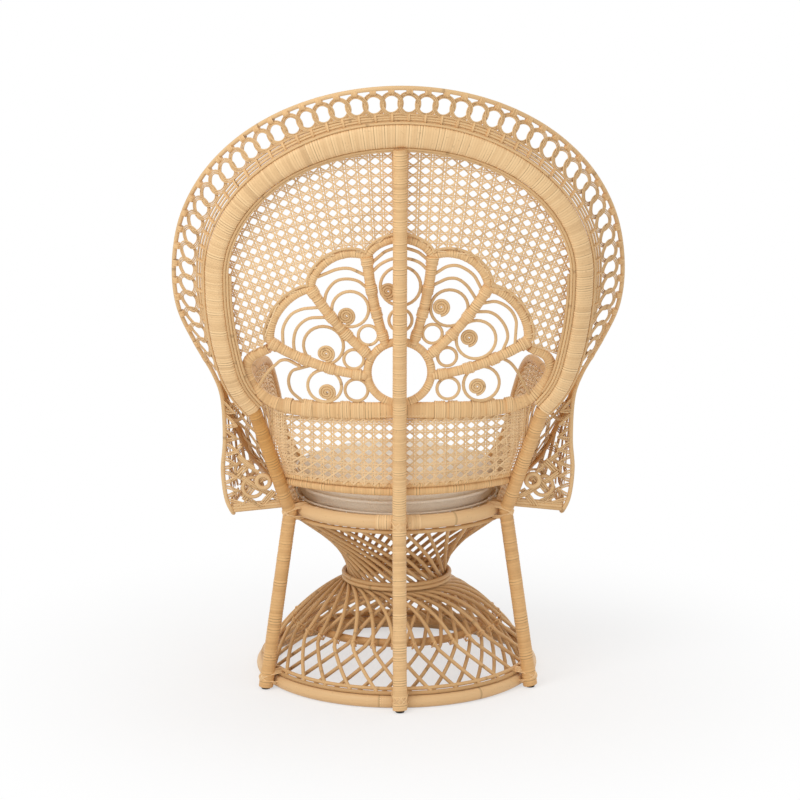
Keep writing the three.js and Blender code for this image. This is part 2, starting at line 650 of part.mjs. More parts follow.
// Lower cane panel between the two rails
const lowerPanelTop = MID_RAIL_HEIGHT - MID_RAIL_TALL / 2 - GAP;
const lowerPanelBase = LOWER_RAIL_HEIGHT + LOWER_RAIL_TALL / 2 + GAP;
const lowerPanel = sheet(
  16,
  3,
  (u, v) => {
    const z = lerp(lowerPanelBase, lowerPanelTop, v);
    const halfWidth = Math.min(frameHalfWidth(z), MID_RAIL_CURL[1][0] + POST_POLE);
    return onBack(lerp(-halfWidth, halfWidth, u), z, CANE_FORWARD);
  },
  CANE_SHEET,
);
add("lower_cane_panel", cutBy(lowerPanel, midRail(GAP), ...sidePosts), PEEL);

// Shell of the fan: five petals between the notches, joined into one scalloped outline
const fanPoint = (radius, degrees, forward = FAN_FORWARD) =>
  onBack(radius * Math.sin(radians(degrees)), HUB_HEIGHT + radius * Math.cos(radians(degrees)), forward);
const notches = NOTCH_ANGLES.map((angle, i) => [angle, NOTCH_RADII[i]]);
const notchRow = [...notches.map(([a, r]) => [-a, r]).reverse(), ...notches];
const petalRows = notchRow.slice(1).map((end, i) => [notchRow[i], end, PETAL_RADII[Math.abs(i - 2)]]);
const petalRadius = ([start, end, top], t) => {
  const swell = Math.pow(Math.sin(Math.PI * t), PETAL_FULLNESS);
  return lerp(start[1], end[1], t) + (top - (start[1] + end[1]) / 2) * swell;
};
const PETAL_STEPS = 8;
function petal(row, grow) {
  const points = Array.from({ length: PETAL_STEPS + 1 }, (_, k) => {
    const t = k / PETAL_STEPS;
    return fanPoint(petalRadius(row, t), lerp(row[0][0], row[1][0], t));
  });
  return rod(points, SHELL_ROD + grow, 5);
}
const shell = (grow = 0) => joined(...petalRows.map((row) => petal(row, grow)));
add("shell_outline", cutBy(shell(), midRail(GAP)), PEEL);

// Hub ring, an arc that stands on the mid rail
const hubRest = HUB_HEIGHT - MID_RAIL_HEIGHT - MID_RAIL_TALL / 2 + HUB_ROD / 2;
const hubDrop = Math.min(hubRest, HUB_CLOSE * HUB_RADIUS);
const hubFoot = 180 - THREE.MathUtils.radToDeg(Math.acos(hubDrop / HUB_RADIUS));
const HUB_STEPS = 18;
function hub(grow = 0) {
  const points = Array.from({ length: HUB_STEPS + 1 }, (_, i) =>
    fanPoint(HUB_RADIUS, lerp(-hubFoot, hubFoot, i / HUB_STEPS), RAIL_FORWARD),
  );
  return rod(points, HUB_ROD + grow, 6);
}
add("hub_ring", cutBy(hub(), midRail(GAP)), PEEL);

// Spokes from the hub to the notches, shaped to seat on both
const SPOKE_STEPS = 3;
const spokes = SIDES.flatMap(([label, side]) =>
  notches.map(([angle, radius], i) => {
    const points = Array.from({ length: SPOKE_STEPS + 1 }, (_, k) => {
      const t = k / SPOKE_STEPS;
      const way = lerp(HUB_RADIUS + HUB_ROD / 2, radius - SHELL_ROD / 2, t);
      return fanPoint(way, side * lerp(SPOKE_START_ANGLES[i], angle, Math.pow(t, SPOKE_BEND)));
    });
    const spoke = cutBy(rod(points, SPOKE_ROD, 6), hub(GAP), shell(GAP));
    add(`${label}_spoke_${i + 1}`, spoke, PEEL);
    return spoke;
  }),
);

// Scroll of thin cane in each petal: it leans on the spokes, winds inwards and ends in a coil
function scroll(x, z, hand, outer, grow = 0) {
  const steps = Math.round(SCROLL_TURNS * SCROLL_STEPS_PER_TURN);
  const start = Math.atan2(x, z - HUB_HEIGHT);
  const points = Array.from({ length: steps + 1 }, (_, k) => {
    const r = lerp(outer, SCROLL_EYE, k / steps);
    const a = start - (hand * 2 * Math.PI * k) / SCROLL_STEPS_PER_TURN;
    return onBack(x - r * Math.sin(a), z - r * Math.cos(a), FAN_FORWARD);
  });
  return rod(points, SCROLL_CANE + grow, 4);
}
const fanPieces = [...spokes, shell(), hub(), midRail()];
function addScroll(name, x, z, hand) {
  const sized = (outer, grow) => scroll(x, z, hand, outer, grow);
  add(name, sized(widest(SCROLL_LEAST, sized, fanPieces)), RATTAN);
}
petalRows.forEach(([start, end], i) => {
  const middle = (start[0] + end[0]) / 2;
  const place = fanPoint((SCROLL_PLACE * (start[1] + end[1])) / 2, middle);
  addScroll(`petal_scroll_${i + 2}`, place.x, place.z, middle > 0 ? -1 : 1);
});
const lowScrollHeight = MID_RAIL_HEIGHT + MID_RAIL_TALL / 2 + LOW_SCROLL_RISE;
addScroll("petal_scroll_1", -LOW_SCROLL_REACH, lowScrollHeight, 1);
addScroll("petal_scroll_7", LOW_SCROLL_REACH, lowScrollHeight, -1);

// Upper cane panel from the shell to the band, in front of both
const CANE_OPENINGS = [12, 4]; // plain openings that stand for the cane's mesh, across the panel and up it
const CANE_BAR = 0.4; // share of the room that the bars between them take
const CANE_INSET = 1; // between the cane's edge and the band's
const caneEndAngle = NOTCH_ANGLES[2];
function radiusToBand(degrees) {
  const direction = radians(Math.abs(degrees));
  const points = bandHalf.map((p, i) => {
    const lap = bandWidthAt(i) / 2 + CANE_INSET;
    return [p.x - bandOutward[i].x * lap, p.y - bandOutward[i].z * lap - HUB_HEIGHT];
  });
  const i = Math.max(1, points.findIndex(([x, z]) => Math.atan2(x, z) > direction));
  const [a, b] = [points[i - 1], points[i]];
  const [angleA, angleB] = [Math.atan2(a[0], a[1]), Math.atan2(b[0], b[1])];
  return lerp(Math.hypot(...a), Math.hypot(...b), (direction - angleA) / (angleB - angleA));
}
function radiusOfShell(degrees) {
  const row = petalRows.find(([start, end]) => degrees >= start[0] && degrees <= end[0]);
  if (!row) return NOTCH_RADII[2];
  return petalRadius(row, (degrees - row[0][0]) / (row[1][0] - row[0][0]));
}
const openCells = (i, j) => i % 2 === 0 || j % 2 === 0;
// Turns a share of a row of bars and openings, counted evenly, into a share of the way across it.
function barred(share, openings) {
  const place = share * (2 * openings + 1);
  const pair = Math.floor(place / 2);
  const rest = place - 2 * pair;
  const way = rest < 1 ? lerp(0, CANE_BAR, rest) : lerp(CANE_BAR, 1, rest - 1);
  return (pair + way) / (openings + CANE_BAR);
}
const [openingsAcross, openingsUp] = CANE_OPENINGS;
const upperCane = sheet(
  2 * openingsAcross + 1,
  2 * openingsUp + 1,
  (u, v) => {
    const way = THREE.MathUtils.clamp(barred(u, openingsAcross), 0, 1);
    const degrees = lerp(-caneEndAngle, caneEndAngle, way);
    const radius = lerp(radiusOfShell(degrees) + SHELL_ROD / 2, radiusToBand(degrees), barred(v, openingsUp));
    return fanPoint(radius, degrees, CANE_FORWARD);
  },
  CANE_SHEET,
  openCells,
);
add("upper_cane_panel", cutBy(upperCane, shell(GAP), midRail(GAP)), PEEL);

// Outer rim: over the top, down the wings' rear edges and forward along their hems to the seat hoop
const RIM_TOP_STEPS = 6;
const rimTop = Array.from({ length: RIM_TOP_STEPS }, (_, k) => {
  const a = (k / RIM_TOP_STEPS) * (Math.PI / 2);
  const depth = lerp(RIM_TOP_DEPTH, RIM_SIDE_DEPTH, Math.sin(a) ** 2);
  return [RIM_HALF_WIDTH * Math.sin(a), depth, lerp(RIM_WIDEST_HEIGHT, RIM_TOP_HEIGHT, Math.cos(a))];
});
const wingTip = aroundBack(SEAT_HOOP_RADIUS + SEAT_HOOP_POLE + RIM_ROD + GAP, WING_TIP_ANGLE, SEAT_HEIGHT);
const rimSide = [RIM_HALF_WIDTH, RIM_SIDE_DEPTH, RIM_WIDEST_HEIGHT];
const rimPoints = [...rimTop, rimSide, ...RIM_LEG, WING_CORNER, ...WING_HEM];
const rimHalf = [...rimPoints.map((p) => vec(...p)), wingTip];
const rimWhole = [...rimHalf.map((p) => mirrorX(p, -1)).reverse(), ...rimHalf.slice(1)];
const RIM_STEPS = 76;
const rim = (grow = 0) => rod(smooth(rimWhole, RIM_STEPS), RIM_ROD + grow, 5);
add("outer_rim", rim(), RATTAN);

// Border of looped canes between the band and the rim
const borderBandEnd = bandHalf.findIndex((p) => p.y < BORDER_END_HEIGHT && p.x > BAND_HALF_WIDTH / 2);
const bandOuterEdge = new THREE.CatmullRomCurve3(
  bandHalf.slice(0, borderBandEnd + 1).map((_, i) => {
    return bandCentre(i).addScaledVector(bandOutward[i], bandWidthAt(i) / 2);
  }),
);
const borderRim = curveThrough(smooth(rimHalf, 2 * RIM_STEPS).filter((p) => p.z > BORDER_END_HEIGHT));
const border = sheet(
  2 * BORDER_LOOPS,
  3,
  (u, v) => {
    const side = u < 0.5 ? -1 : 1;
    const way = Math.min(Math.abs(2 * u - 1), 1);
    const inner = bandOuterEdge.getPointAt(way);
    const outer = borderRim.getPointAt(way);
    return mirrorX(between(inner, outer, v, FACET_SLACK, RIM_ROD + 3 * FACET_SLACK), side);
  },
  BORDER_THICKNESS,
  (i, j) => i % 2 === 0 || j !== 1,
);
add("border_loops", border, RATTAN);

// Arms and wings
const hemPoints = [WING_CORNER, ...WING_HEM].map((p) => vec(...p));
const hem = curveThrough([...hemPoints, wingTip]);
const rearEdge = curveThrough([WING_CORNER, ...RIM_LEG.slice(2).reverse()].map((p) => vec(...p)));
const clamped = (t) => THREE.MathUtils.clamp(t, 0, 1);
for (const [label, side] of SIDES) {
  const [curlX, curlUp] = MID_RAIL_CURL[3];
  const railStart = onBack(side * curlX, MID_RAIL_HEIGHT + curlUp - SHELL_ROD, RAIL_FORWARD);
  const railEnd = aroundBack(SEAT_HOOP_RADIUS, side * ARM_RAIL_END_ANGLE, SEAT_HEIGHT);
  const railPath = smooth([railStart, ...ARM_RAIL.map((p) => mirrored(p, side)), railEnd], 14);
  const armRail = (grow = 0) => rod(railPath, ARM_RAIL_POLE + grow, 6);
  add(`${label}_arm_rail`, cutBy(armRail(), midRail(GAP), seatHoop(GAP)), RATTAN);

  const railCurve = new THREE.CatmullRomCurve3(railPath);
  const panelAt = (u, v) => {
    const foot = aroundBack(SEAT_HOOP_RADIUS, side * lerp(...ARM_PANEL_ANGLES, u), SEAT_HEIGHT);
    const head = railCurve.getPointAt(lerp(...ARM_PANEL_SPAN, clamped(u)));
    return between(foot, head, v, SEAT_HOOP_POLE + 2 * FACET_SLACK, 0);
  };
  const panel = sheet(12, 3, panelAt, ARM_PANEL_THICKNESS);
  add(`${label}_arm_panel`, cutBy(panel, armRail(GAP)), PEEL);

  const poleReach = SEAT_HOOP_RADIUS + SEAT_HOOP_POLE + WING_POLE + GAP;
  const poleFoot = aroundBack(poleReach, side * WING_POLE_END_ANGLE, SEAT_HEIGHT + SEAT_HOOP_POLE / 2);
  const polePath = smooth([...WING_POLE_PATH.map((p) => mirrored(p, side)), poleFoot], 10);
  const wingPole = (grow = 0) => rod(polePath, WING_POLE + grow, 6);
  add(`${label}_wing_pole`, cutBy(wingPole(), rim(GAP)), RATTAN);

  const poleCurve = new THREE.CatmullRomCurve3(polePath);
  const hemAt = (u) => mirrorX(hem.getPointAt(clamped(u * WING_HEM_SHARE)), side);
  const wingAt = (u, v) => {
    const way = lerp(WING_SETBACK, 1, u);
    return between(poleCurve.getPointAt(clamped(way)), hemAt(way), v, 0, LACE_CLEAR * RIM_ROD);
  };
  const wing = sheet(11, 5, wingAt, LACE_THICKNESS, openCells);
  add(`${label}_wing_lace`, cutBy(wing, wingPole(GAP)), RATTAN);

  const [, , , knee, head] = sidePath(side);
  const gussetAt = (u, v) => {
    const inner = knee.clone().lerp(head, lerp(...GUSSET_SPAN, u));
    const outer = mirrorX(rearEdge.getPointAt(clamped(u * GUSSET_REACH)), side);
    return between(inner, outer, v, 0, LACE_CLEAR * RIM_ROD);
  };
  const gusset = sheet(9, 5, gussetAt, LACE_THICKNESS, openCells);
  add(`${label}_gusset_lace`, cutBy(gusset, post(sidePath(side), GAP)), RATTAN);
}

// The origin is on the floor, under the middle of the chair's outline.
const outline = new THREE.Box3().setFromObject(chair);
const middle = outline.getCenter(vec(0, 0, 0));
chair.position.set(-middle.x, -middle.y, -outline.min.z);

export default chair;
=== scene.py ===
"""Looks of a rattan peacock chair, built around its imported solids."""

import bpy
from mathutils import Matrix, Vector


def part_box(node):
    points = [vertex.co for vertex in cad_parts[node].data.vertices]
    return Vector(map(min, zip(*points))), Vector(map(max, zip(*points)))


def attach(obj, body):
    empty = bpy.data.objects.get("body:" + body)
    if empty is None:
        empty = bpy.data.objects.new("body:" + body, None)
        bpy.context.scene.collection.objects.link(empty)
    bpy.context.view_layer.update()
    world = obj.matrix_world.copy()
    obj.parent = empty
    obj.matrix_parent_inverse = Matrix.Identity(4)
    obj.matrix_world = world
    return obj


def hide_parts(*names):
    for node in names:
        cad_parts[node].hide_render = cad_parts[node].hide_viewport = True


bl_info = {
    "name": "Rattan peacock chair",
    "version": (1, 0, 0),
    "blender": (4, 5, 0),
    "location": "3D View > Sidebar > Chair",
    "description": "Builds the wrapped, woven and looped cane of a peacock chair round its solids",
    "category": "Object",
}

import math

import bmesh
import bpy
import numpy as np
from bpy.props import FloatProperty, FloatVectorProperty, IntProperty, PointerProperty

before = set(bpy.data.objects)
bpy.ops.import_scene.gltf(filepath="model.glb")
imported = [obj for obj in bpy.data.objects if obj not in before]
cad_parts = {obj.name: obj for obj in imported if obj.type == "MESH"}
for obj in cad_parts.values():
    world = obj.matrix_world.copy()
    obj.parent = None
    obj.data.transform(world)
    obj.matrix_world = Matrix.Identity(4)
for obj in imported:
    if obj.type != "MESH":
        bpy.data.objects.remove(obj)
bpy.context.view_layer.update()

# Places are worked out in millimetres about the middle of the bottom hoop, and turned into metres
# in the chair's own frame when a mesh is made.
MM = 0.001
HOOP_LOW, HOOP_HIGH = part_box("base_hoop")
SHIFT = np.array(((HOOP_LOW.x + HOOP_HIGH.x) / 2, (HOOP_LOW.y + HOOP_HIGH.y) / 2, HOOP_LOW.z))
UP = np.array((0.0, 0.0, 1.0))
BACK = np.array((0.0, 1.0, 0.0))
SIDES = (("left", 1), ("right", -1))

BASE_HOOP, BASE_POLE = 336.0, 15.5
SEAT_HOOP, SEAT_POLE, SEAT_HEIGHT = 276.0, 17.0, 444.0
WAIST_RING, WAIST_COIL, WAIST_HEIGHT = 132.0, 5.4, 242.0
BRACE_HEIGHT, BRACE_ROD = 124.0, 10.0
POST_POLE, FOOT_POLE, POST_REACH, FOOT_REACH = 16.5, 17.5, 309.8, 371.5
SIDE_FOOT_ANGLE, SIDE_SEAT_ANGLE = 61.0, 57.8
BAND_WIDEST, BAND_WIDEST_HEIGHT = 430.0, 1048.0
BAND_TOP, BAND_TOP_DEPTH = 1390.0, 418.0
BAND_LEG = ((429, 980), (419, 890), (400, 805), (376, 752), (345, 712))
BAND_WIDTH, BAND_END_WIDTH, BAND_THICKNESS = 62.0, 36.0, 33.0
FAN_FORWARD, CANE_FORWARD, RAIL_FORWARD, LOWER_RAIL_FORWARD = 28.4, 18.8, 30.1, 26.7
MID_RAIL, LOWER_RAIL, HUB_HEIGHT = 727.0, 531.0, 820.0
SHELL_ROD, HUB_ROD, HUB_RADIUS = 11.0, 10.0, 75.0
PANEL_LAP = 12.0
RIM_ROD = 5.4
SCROLL_ROD = 3.9
POST_FOOT, SPINE_TOP = 5.4, 1358.0
FOOT_WRAP_HEIGHT = 60
DECK_TOP, DECK_PITCH = 449.0, 17.0
CUSHION_BASE = 449.6


def lerp(a, b, t):
    return a + (b - a) * t


def smoothstep(x, low, high):
    t = np.clip((x - low) / (high - low), 0, 1)
    return t * t * (3 - 2 * t)


def unit(v):
    return v / np.maximum(np.linalg.norm(v, axis=-1, keepdims=True), 1e-9)


def between(low, high, share):
    """Points a share of the way from one point or row of points to another."""
    return lerp(low, high, np.asarray(share, float)[..., None])


def read_rows(x, places, rows):
    """Rows read at x, between rows that are given at certain places."""
    return np.stack([np.interp(x, places, column) for column in rows.T], axis=-1)


def around_back(radius, degrees, z):
    a = np.radians(degrees)
    return np.stack(np.broadcast_arrays(radius * np.sin(a), radius * np.cos(a), z), axis=-1).astype(float)


def mirrored(points, side):
    return np.asarray(points, float) * (side, 1, 1)


class Course:
    """Smooth line through given points, read by the share of the way along it."""

    def __init__(self, points, power=0.5, per_span=24):
        p = np.asarray(points, float)
        p = np.vstack((2 * p[0] - p[1], p, 2 * p[-1] - p[-2]))
        rows = []
        for a, b, c, d in zip(p, p[1:], p[2:], p[3:]):
            ab, bc, cd = (max(np.linalg.norm(v), 1e-6) ** power for v in (b - a, c - b, d - c))
            m1 = ((b - a) / ab - (c - a) / (ab + bc) + (c - b) / bc) * bc
            m2 = ((c - b) / bc - (d - b) / (bc + cd) + (d - c) / cd) * bc
            t = np.linspace(0, 1, per_span, endpoint=False)[:, None]
            rows.append(
                b * (2 * t**3 - 3 * t**2 + 1) + m1 * (t**3 - 2 * t**2 + t)
                + c * (3 * t**2 - 2 * t**3) + m2 * (t**3 - t**2)
            )
        self.points = np.vstack((*rows, p[-2]))
        steps = np.linalg.norm(np.diff(self.points, axis=0), axis=1)
        self.reach = np.concatenate(((0.0,), np.cumsum(steps)))
        self.length = self.reach[-1]

    def at(self, shares):
        way = np.clip(np.asarray(shares, float), 0, 1) * self.length
        return read_rows(way, self.reach, self.points)

    def spaced(self, count):
        return self.at(np.linspace(0, 1, count))


# Shape of the back: the spine and the side posts lean back, and the surface is dished between them.
SIDE_SEAT = around_back(POST_REACH, SIDE_SEAT_ANGLE, SEAT_HEIGHT)


def rise(z):
    return (z - SEAT_HEIGHT) / (BAND_TOP - SEAT_HEIGHT)


def spine_depth(z):
    return lerp(POST_REACH, BAND_TOP_DEPTH, rise(z))


def frame_depth(z):
    return lerp(SIDE_SEAT[1], BAND_TOP_DEPTH, rise(z))


def band_outline(count=121):
    a = np.linspace(0, np.pi / 2, 40)
    top = np.stack((BAND_WIDEST * np.sin(a), lerp(BAND_WIDEST_HEIGHT, BAND_TOP, np.cos(a))), axis=-1)
    leg = Course([top[-1], *BAND_LEG], power=0.02).points
    return Course(np.vstack((top, leg[1:])), per_span=2).spaced(count)


BAND = band_outline()
BAND_END = BAND[-1]


def frame_half_width(z):
    post = lerp(SIDE_SEAT[0], BAND_END[0], (z - SEAT_HEIGHT) / (BAND_END[1] - SEAT_HEIGHT))
    return np.where(z <= BAND_END[1], post, np.interp(z, BAND[::-1, 1], BAND[::-1, 0]))


def on_back(x, z, forward=0.0):
    x, z = np.broadcast_arrays(np.asarray(x, float), np.asarray(z, float))
    spread = np.abs(x) / np.maximum(frame_half_width(z), SHELL_ROD)
    return np.stack((x, lerp(spine_depth(z), frame_depth(z), spread**2) - forward, z), axis=-1)


def band_facing():
    along = unit(np.gradient(BAND, axis=0))
    out = np.stack((-along[:, 1], along[:, 0]), axis=-1)
    out[0] = (0, 1)
    lean = (BAND_TOP_DEPTH - SIDE_SEAT[1]) / (BAND_TOP - SEAT_HEIGHT)
    turn = out[:, 0] ** 2 * math.tan(math.radians(20))
    return unit(np.stack((out[:, 0], out[:, 1] * lean - turn, out[:, 1]), axis=-1))


BAND_FACING = band_facing()
BAND_CENTRE = np.stack((BAND[:, 0], frame_depth(BAND[:, 1]), BAND[:, 1]), axis=-1)
BAND_SHARE = np.linspace(0, 1, len(BAND))
BAND_HALF = lerp(BAND_WIDTH, BAND_END_WIDTH, smoothstep(BAND_SHARE, 0.62, 1)) / 2
BAND_FACE = lerp(28.5, 22.5, smoothstep(BAND_SHARE, 0.05, 0.4))
BAND_FACE = lerp(BAND_FACE, 17.5, smoothstep(BAND_SHARE, 0.8, 1))


def whole_band(half_rows):
    """Both halves of a row of values that runs from the band's top to its end."""
    flip = (-1, 1, 1) if half_rows.ndim == 2 else 1
    return np.concatenate((half_rows[::-1], half_rows[1:] * flip))


def fan_point(radius, degrees, forward=FAN_FORWARD):
    a = np.radians(degrees)
    return on_back(radius * np.sin(a), HUB_HEIGHT + radius * np.cos(a), forward)


NOTCHES = ((15.2, 288.0), (45.5, 287.0), (77.4, 308.0))
NOTCH_ROW = [(-a, r) for a, r in NOTCHES[::-1]] + list(NOTCHES)
PETALS = list(zip(NOTCH_ROW, NOTCH_ROW[1:], (318.0, 318.0, 323.0, 318.0, 318.0)))


def petal_radius(petal, t):
    start, end, top = petal
    swell = np.maximum(np.sin(np.pi * t), 0) ** 0.6
    return lerp(start[1], end[1], t) + (top - (start[1] + end[1]) / 2) * swell


def shell_radius(degrees):
    degrees = np.asarray(degrees, float)
    radius = np.full(degrees.shape, NOTCHES[-1][1])
    for petal in PETALS:
        start, end = petal[0][0], petal[1][0]
        inside = (degrees >= start) & (degrees <= end)
        radius = np.where(inside, petal_radius(petal, (degrees - start) / (end - start)), radius)
    return radius


def band_inner_radius(degrees):
    """Reach from the hub to where the upper panel's cane ends, behind the band."""
    edge = BAND - BAND_FACING[:, ::2] * (BAND_HALF - PANEL_LAP)[:, None] - (0, HUB_HEIGHT)
    angles = np.degrees(np.arctan2(edge[:, 0], edge[:, 1]))
    return np.interp(np.abs(degrees), angles, np.hypot(edge[:, 0], edge[:, 1]))


RIM_ANGLES = np.arange(6) * 15.0
RIM_TOP_POINTS = [
    (530 * np.sin(a), lerp(445, 235, np.sin(a) ** 2), lerp(1055, 1500, np.cos(a)))
    for a in np.radians(RIM_ANGLES)
]
RIM_LEG = (
    (530, 235, 1055), (521, 222, 960), (484, 205, 872), (440, 195, 790),
    (423, 185, 737), (418, 170, 622), (424, 160, 545), (415, 152, 468),
)
WING_CORNER = (402, 150, 440)
WING_HEM = ((404, 60, 431), (392, -60, 432), (345, -170, 438), (270, -247, 443))
WING_TIP = around_back(299.3, 138, SEAT_HEIGHT)
RIM_HALF = np.array([*RIM_TOP_POINTS, *RIM_LEG, WING_CORNER, *WING_HEM, WING_TIP], float)
RIM = Course(np.vstack((mirrored(RIM_HALF[::-1], -1), RIM_HALF[1:])))
HEM = Course([WING_CORNER, *WING_HEM, WING_TIP])
REAR_EDGE = Course([WING_CORNER, *RIM_LEG[:2:-1]])
BORDER_END_HEIGHT = 812.0


# Settings of the add-on
class PEACOCK_sizes(bpy.types.PropertyGroup):
    """Sizes of the cane and its weaves"""

    wrap_pitch: FloatProperty(
        name="Wrap pitch", description="Width of one turn of peel on the spine and the band",
        default=0.0060, min=0.002, max=0.02, unit="LENGTH",
    )
    strip_pitch: FloatProperty(
        name="Strip pitch", description="Width of one turn of the broad strips on the posts",
        default=0.0070, min=0.002, max=0.02, unit="LENGTH",
    )
    cane_cell: FloatProperty(
        name="Cane cell", description="Width of one cell of the upper cane panel",
        default=0.0236, min=0.015, max=0.06, unit="LENGTH",
    )
    stakes: IntProperty(
        name="Stakes", description="Stakes in each family of the base", default=32, min=8, max=60,
    )
    border_loops: IntProperty(
        name="Border loops", description="Rings of cane round the border", default=50, min=20, max=90,
    )
    cushion_swell: FloatProperty(
        name="Cushion swell", description="How far the cushion's cover may swell",
        default=0.009, min=0.0, max=0.03, unit="LENGTH",
    )


def colour_setting(name, description, default):
    return FloatVectorProperty(
        name=name, description=description, default=default, subtype="COLOR", size=3, min=0, max=1,
    )


class PEACOCK_finishes(bpy.types.PropertyGroup):
    """Colours of the cane, the cushion and the glides"""

    peel: colour_setting("Peel", "Glossy peel wrapped round the poles", (0.90, 0.615, 0.325))
    pole: colour_setting("Pole", "Smooth rattan poles", (0.79, 0.52, 0.265))
    cane: colour_setting("Cane", "Thin round canes", (0.76, 0.505, 0.255))
    weave: colour_setting("Weave", "Cane of the woven panels", (0.86, 0.60, 0.33))
    linen: colour_setting("Linen", "Cloth of the cushion", (0.90, 0.79, 0.65))
    rubber: colour_setting("Rubber", "Glides under the posts", (0.035, 0.028, 0.022))


def sizes():
    return bpy.context.scene.peacock_sizes


def finishes():
    return bpy.context.scene.peacock_finishes


# Node helpers
def node(tree, kind, inputs=None, **settings):
    """Adds a node, sets its options, then sets or links its inputs."""
    made = tree.nodes.new(kind)
    made.location = (190 * (len(tree.nodes) % 12), -260 * (len(tree.nodes) // 12))
    for name, value in settings.items():
        setattr(made, name, value)
    for key, value in (inputs or {}).items():
        if isinstance(value, bpy.types.NodeSocket):
            tree.links.new(value, made.inputs[key])
        else:
            made.inputs[key].default_value = value
    return made


def calc(tree, operation, *values):
    return node(tree, "ShaderNodeMath", dict(enumerate(values)), operation=operation).outputs[0]


def vector(tree, operation, *values):
    return node(tree, "ShaderNodeVectorMath", dict(enumerate(values)), operation=operation).outputs[0]


def scaled(tree, value, factor):
    return node(tree, "ShaderNodeVectorMath", {0: value, "Scale": factor}, operation="SCALE").outputs[0]


# Sweep of cane along paths, by geometry nodes
SWEEP_INPUTS = (
    ("Sides", "NodeSocketInt"),
    ("Turn Step", "NodeSocketFloat"),
    ("Ridge", "NodeSocketFloat"),
    ("Tilt", "NodeSocketFloat"),
    ("Jitter", "NodeSocketFloat"),
    ("Squareness", "NodeSocketFloat"),
    ("Section Turn", "NodeSocketFloat"),
    ("Shade Smooth", "NodeSocketBool"),
    ("Seed", "NodeSocketInt"),
    ("Material", "NodeSocketMaterial"),
)
STEPS_PER_TURN = 4
SWEEP_SEED = 7
SQUARE_ON = math.pi / 4  # turns a section of four sides flat
FLAT_STRIP = dict(turned=SQUARE_ON, smooth=False)
# Pitches in metres of the turns that the sizes do not set
BINDING_PITCH, TIE_PITCH, BRAID_PITCH, PIPING_PITCH = 0.0052, 0.0034, 0.0068, 0.0044
PATH_VALUES = ("facing", "half_wide", "half_deep", "strand_number")
HELPER_VALUES = (*PATH_VALUES, "spot", "way", "reach", "place", "corner")


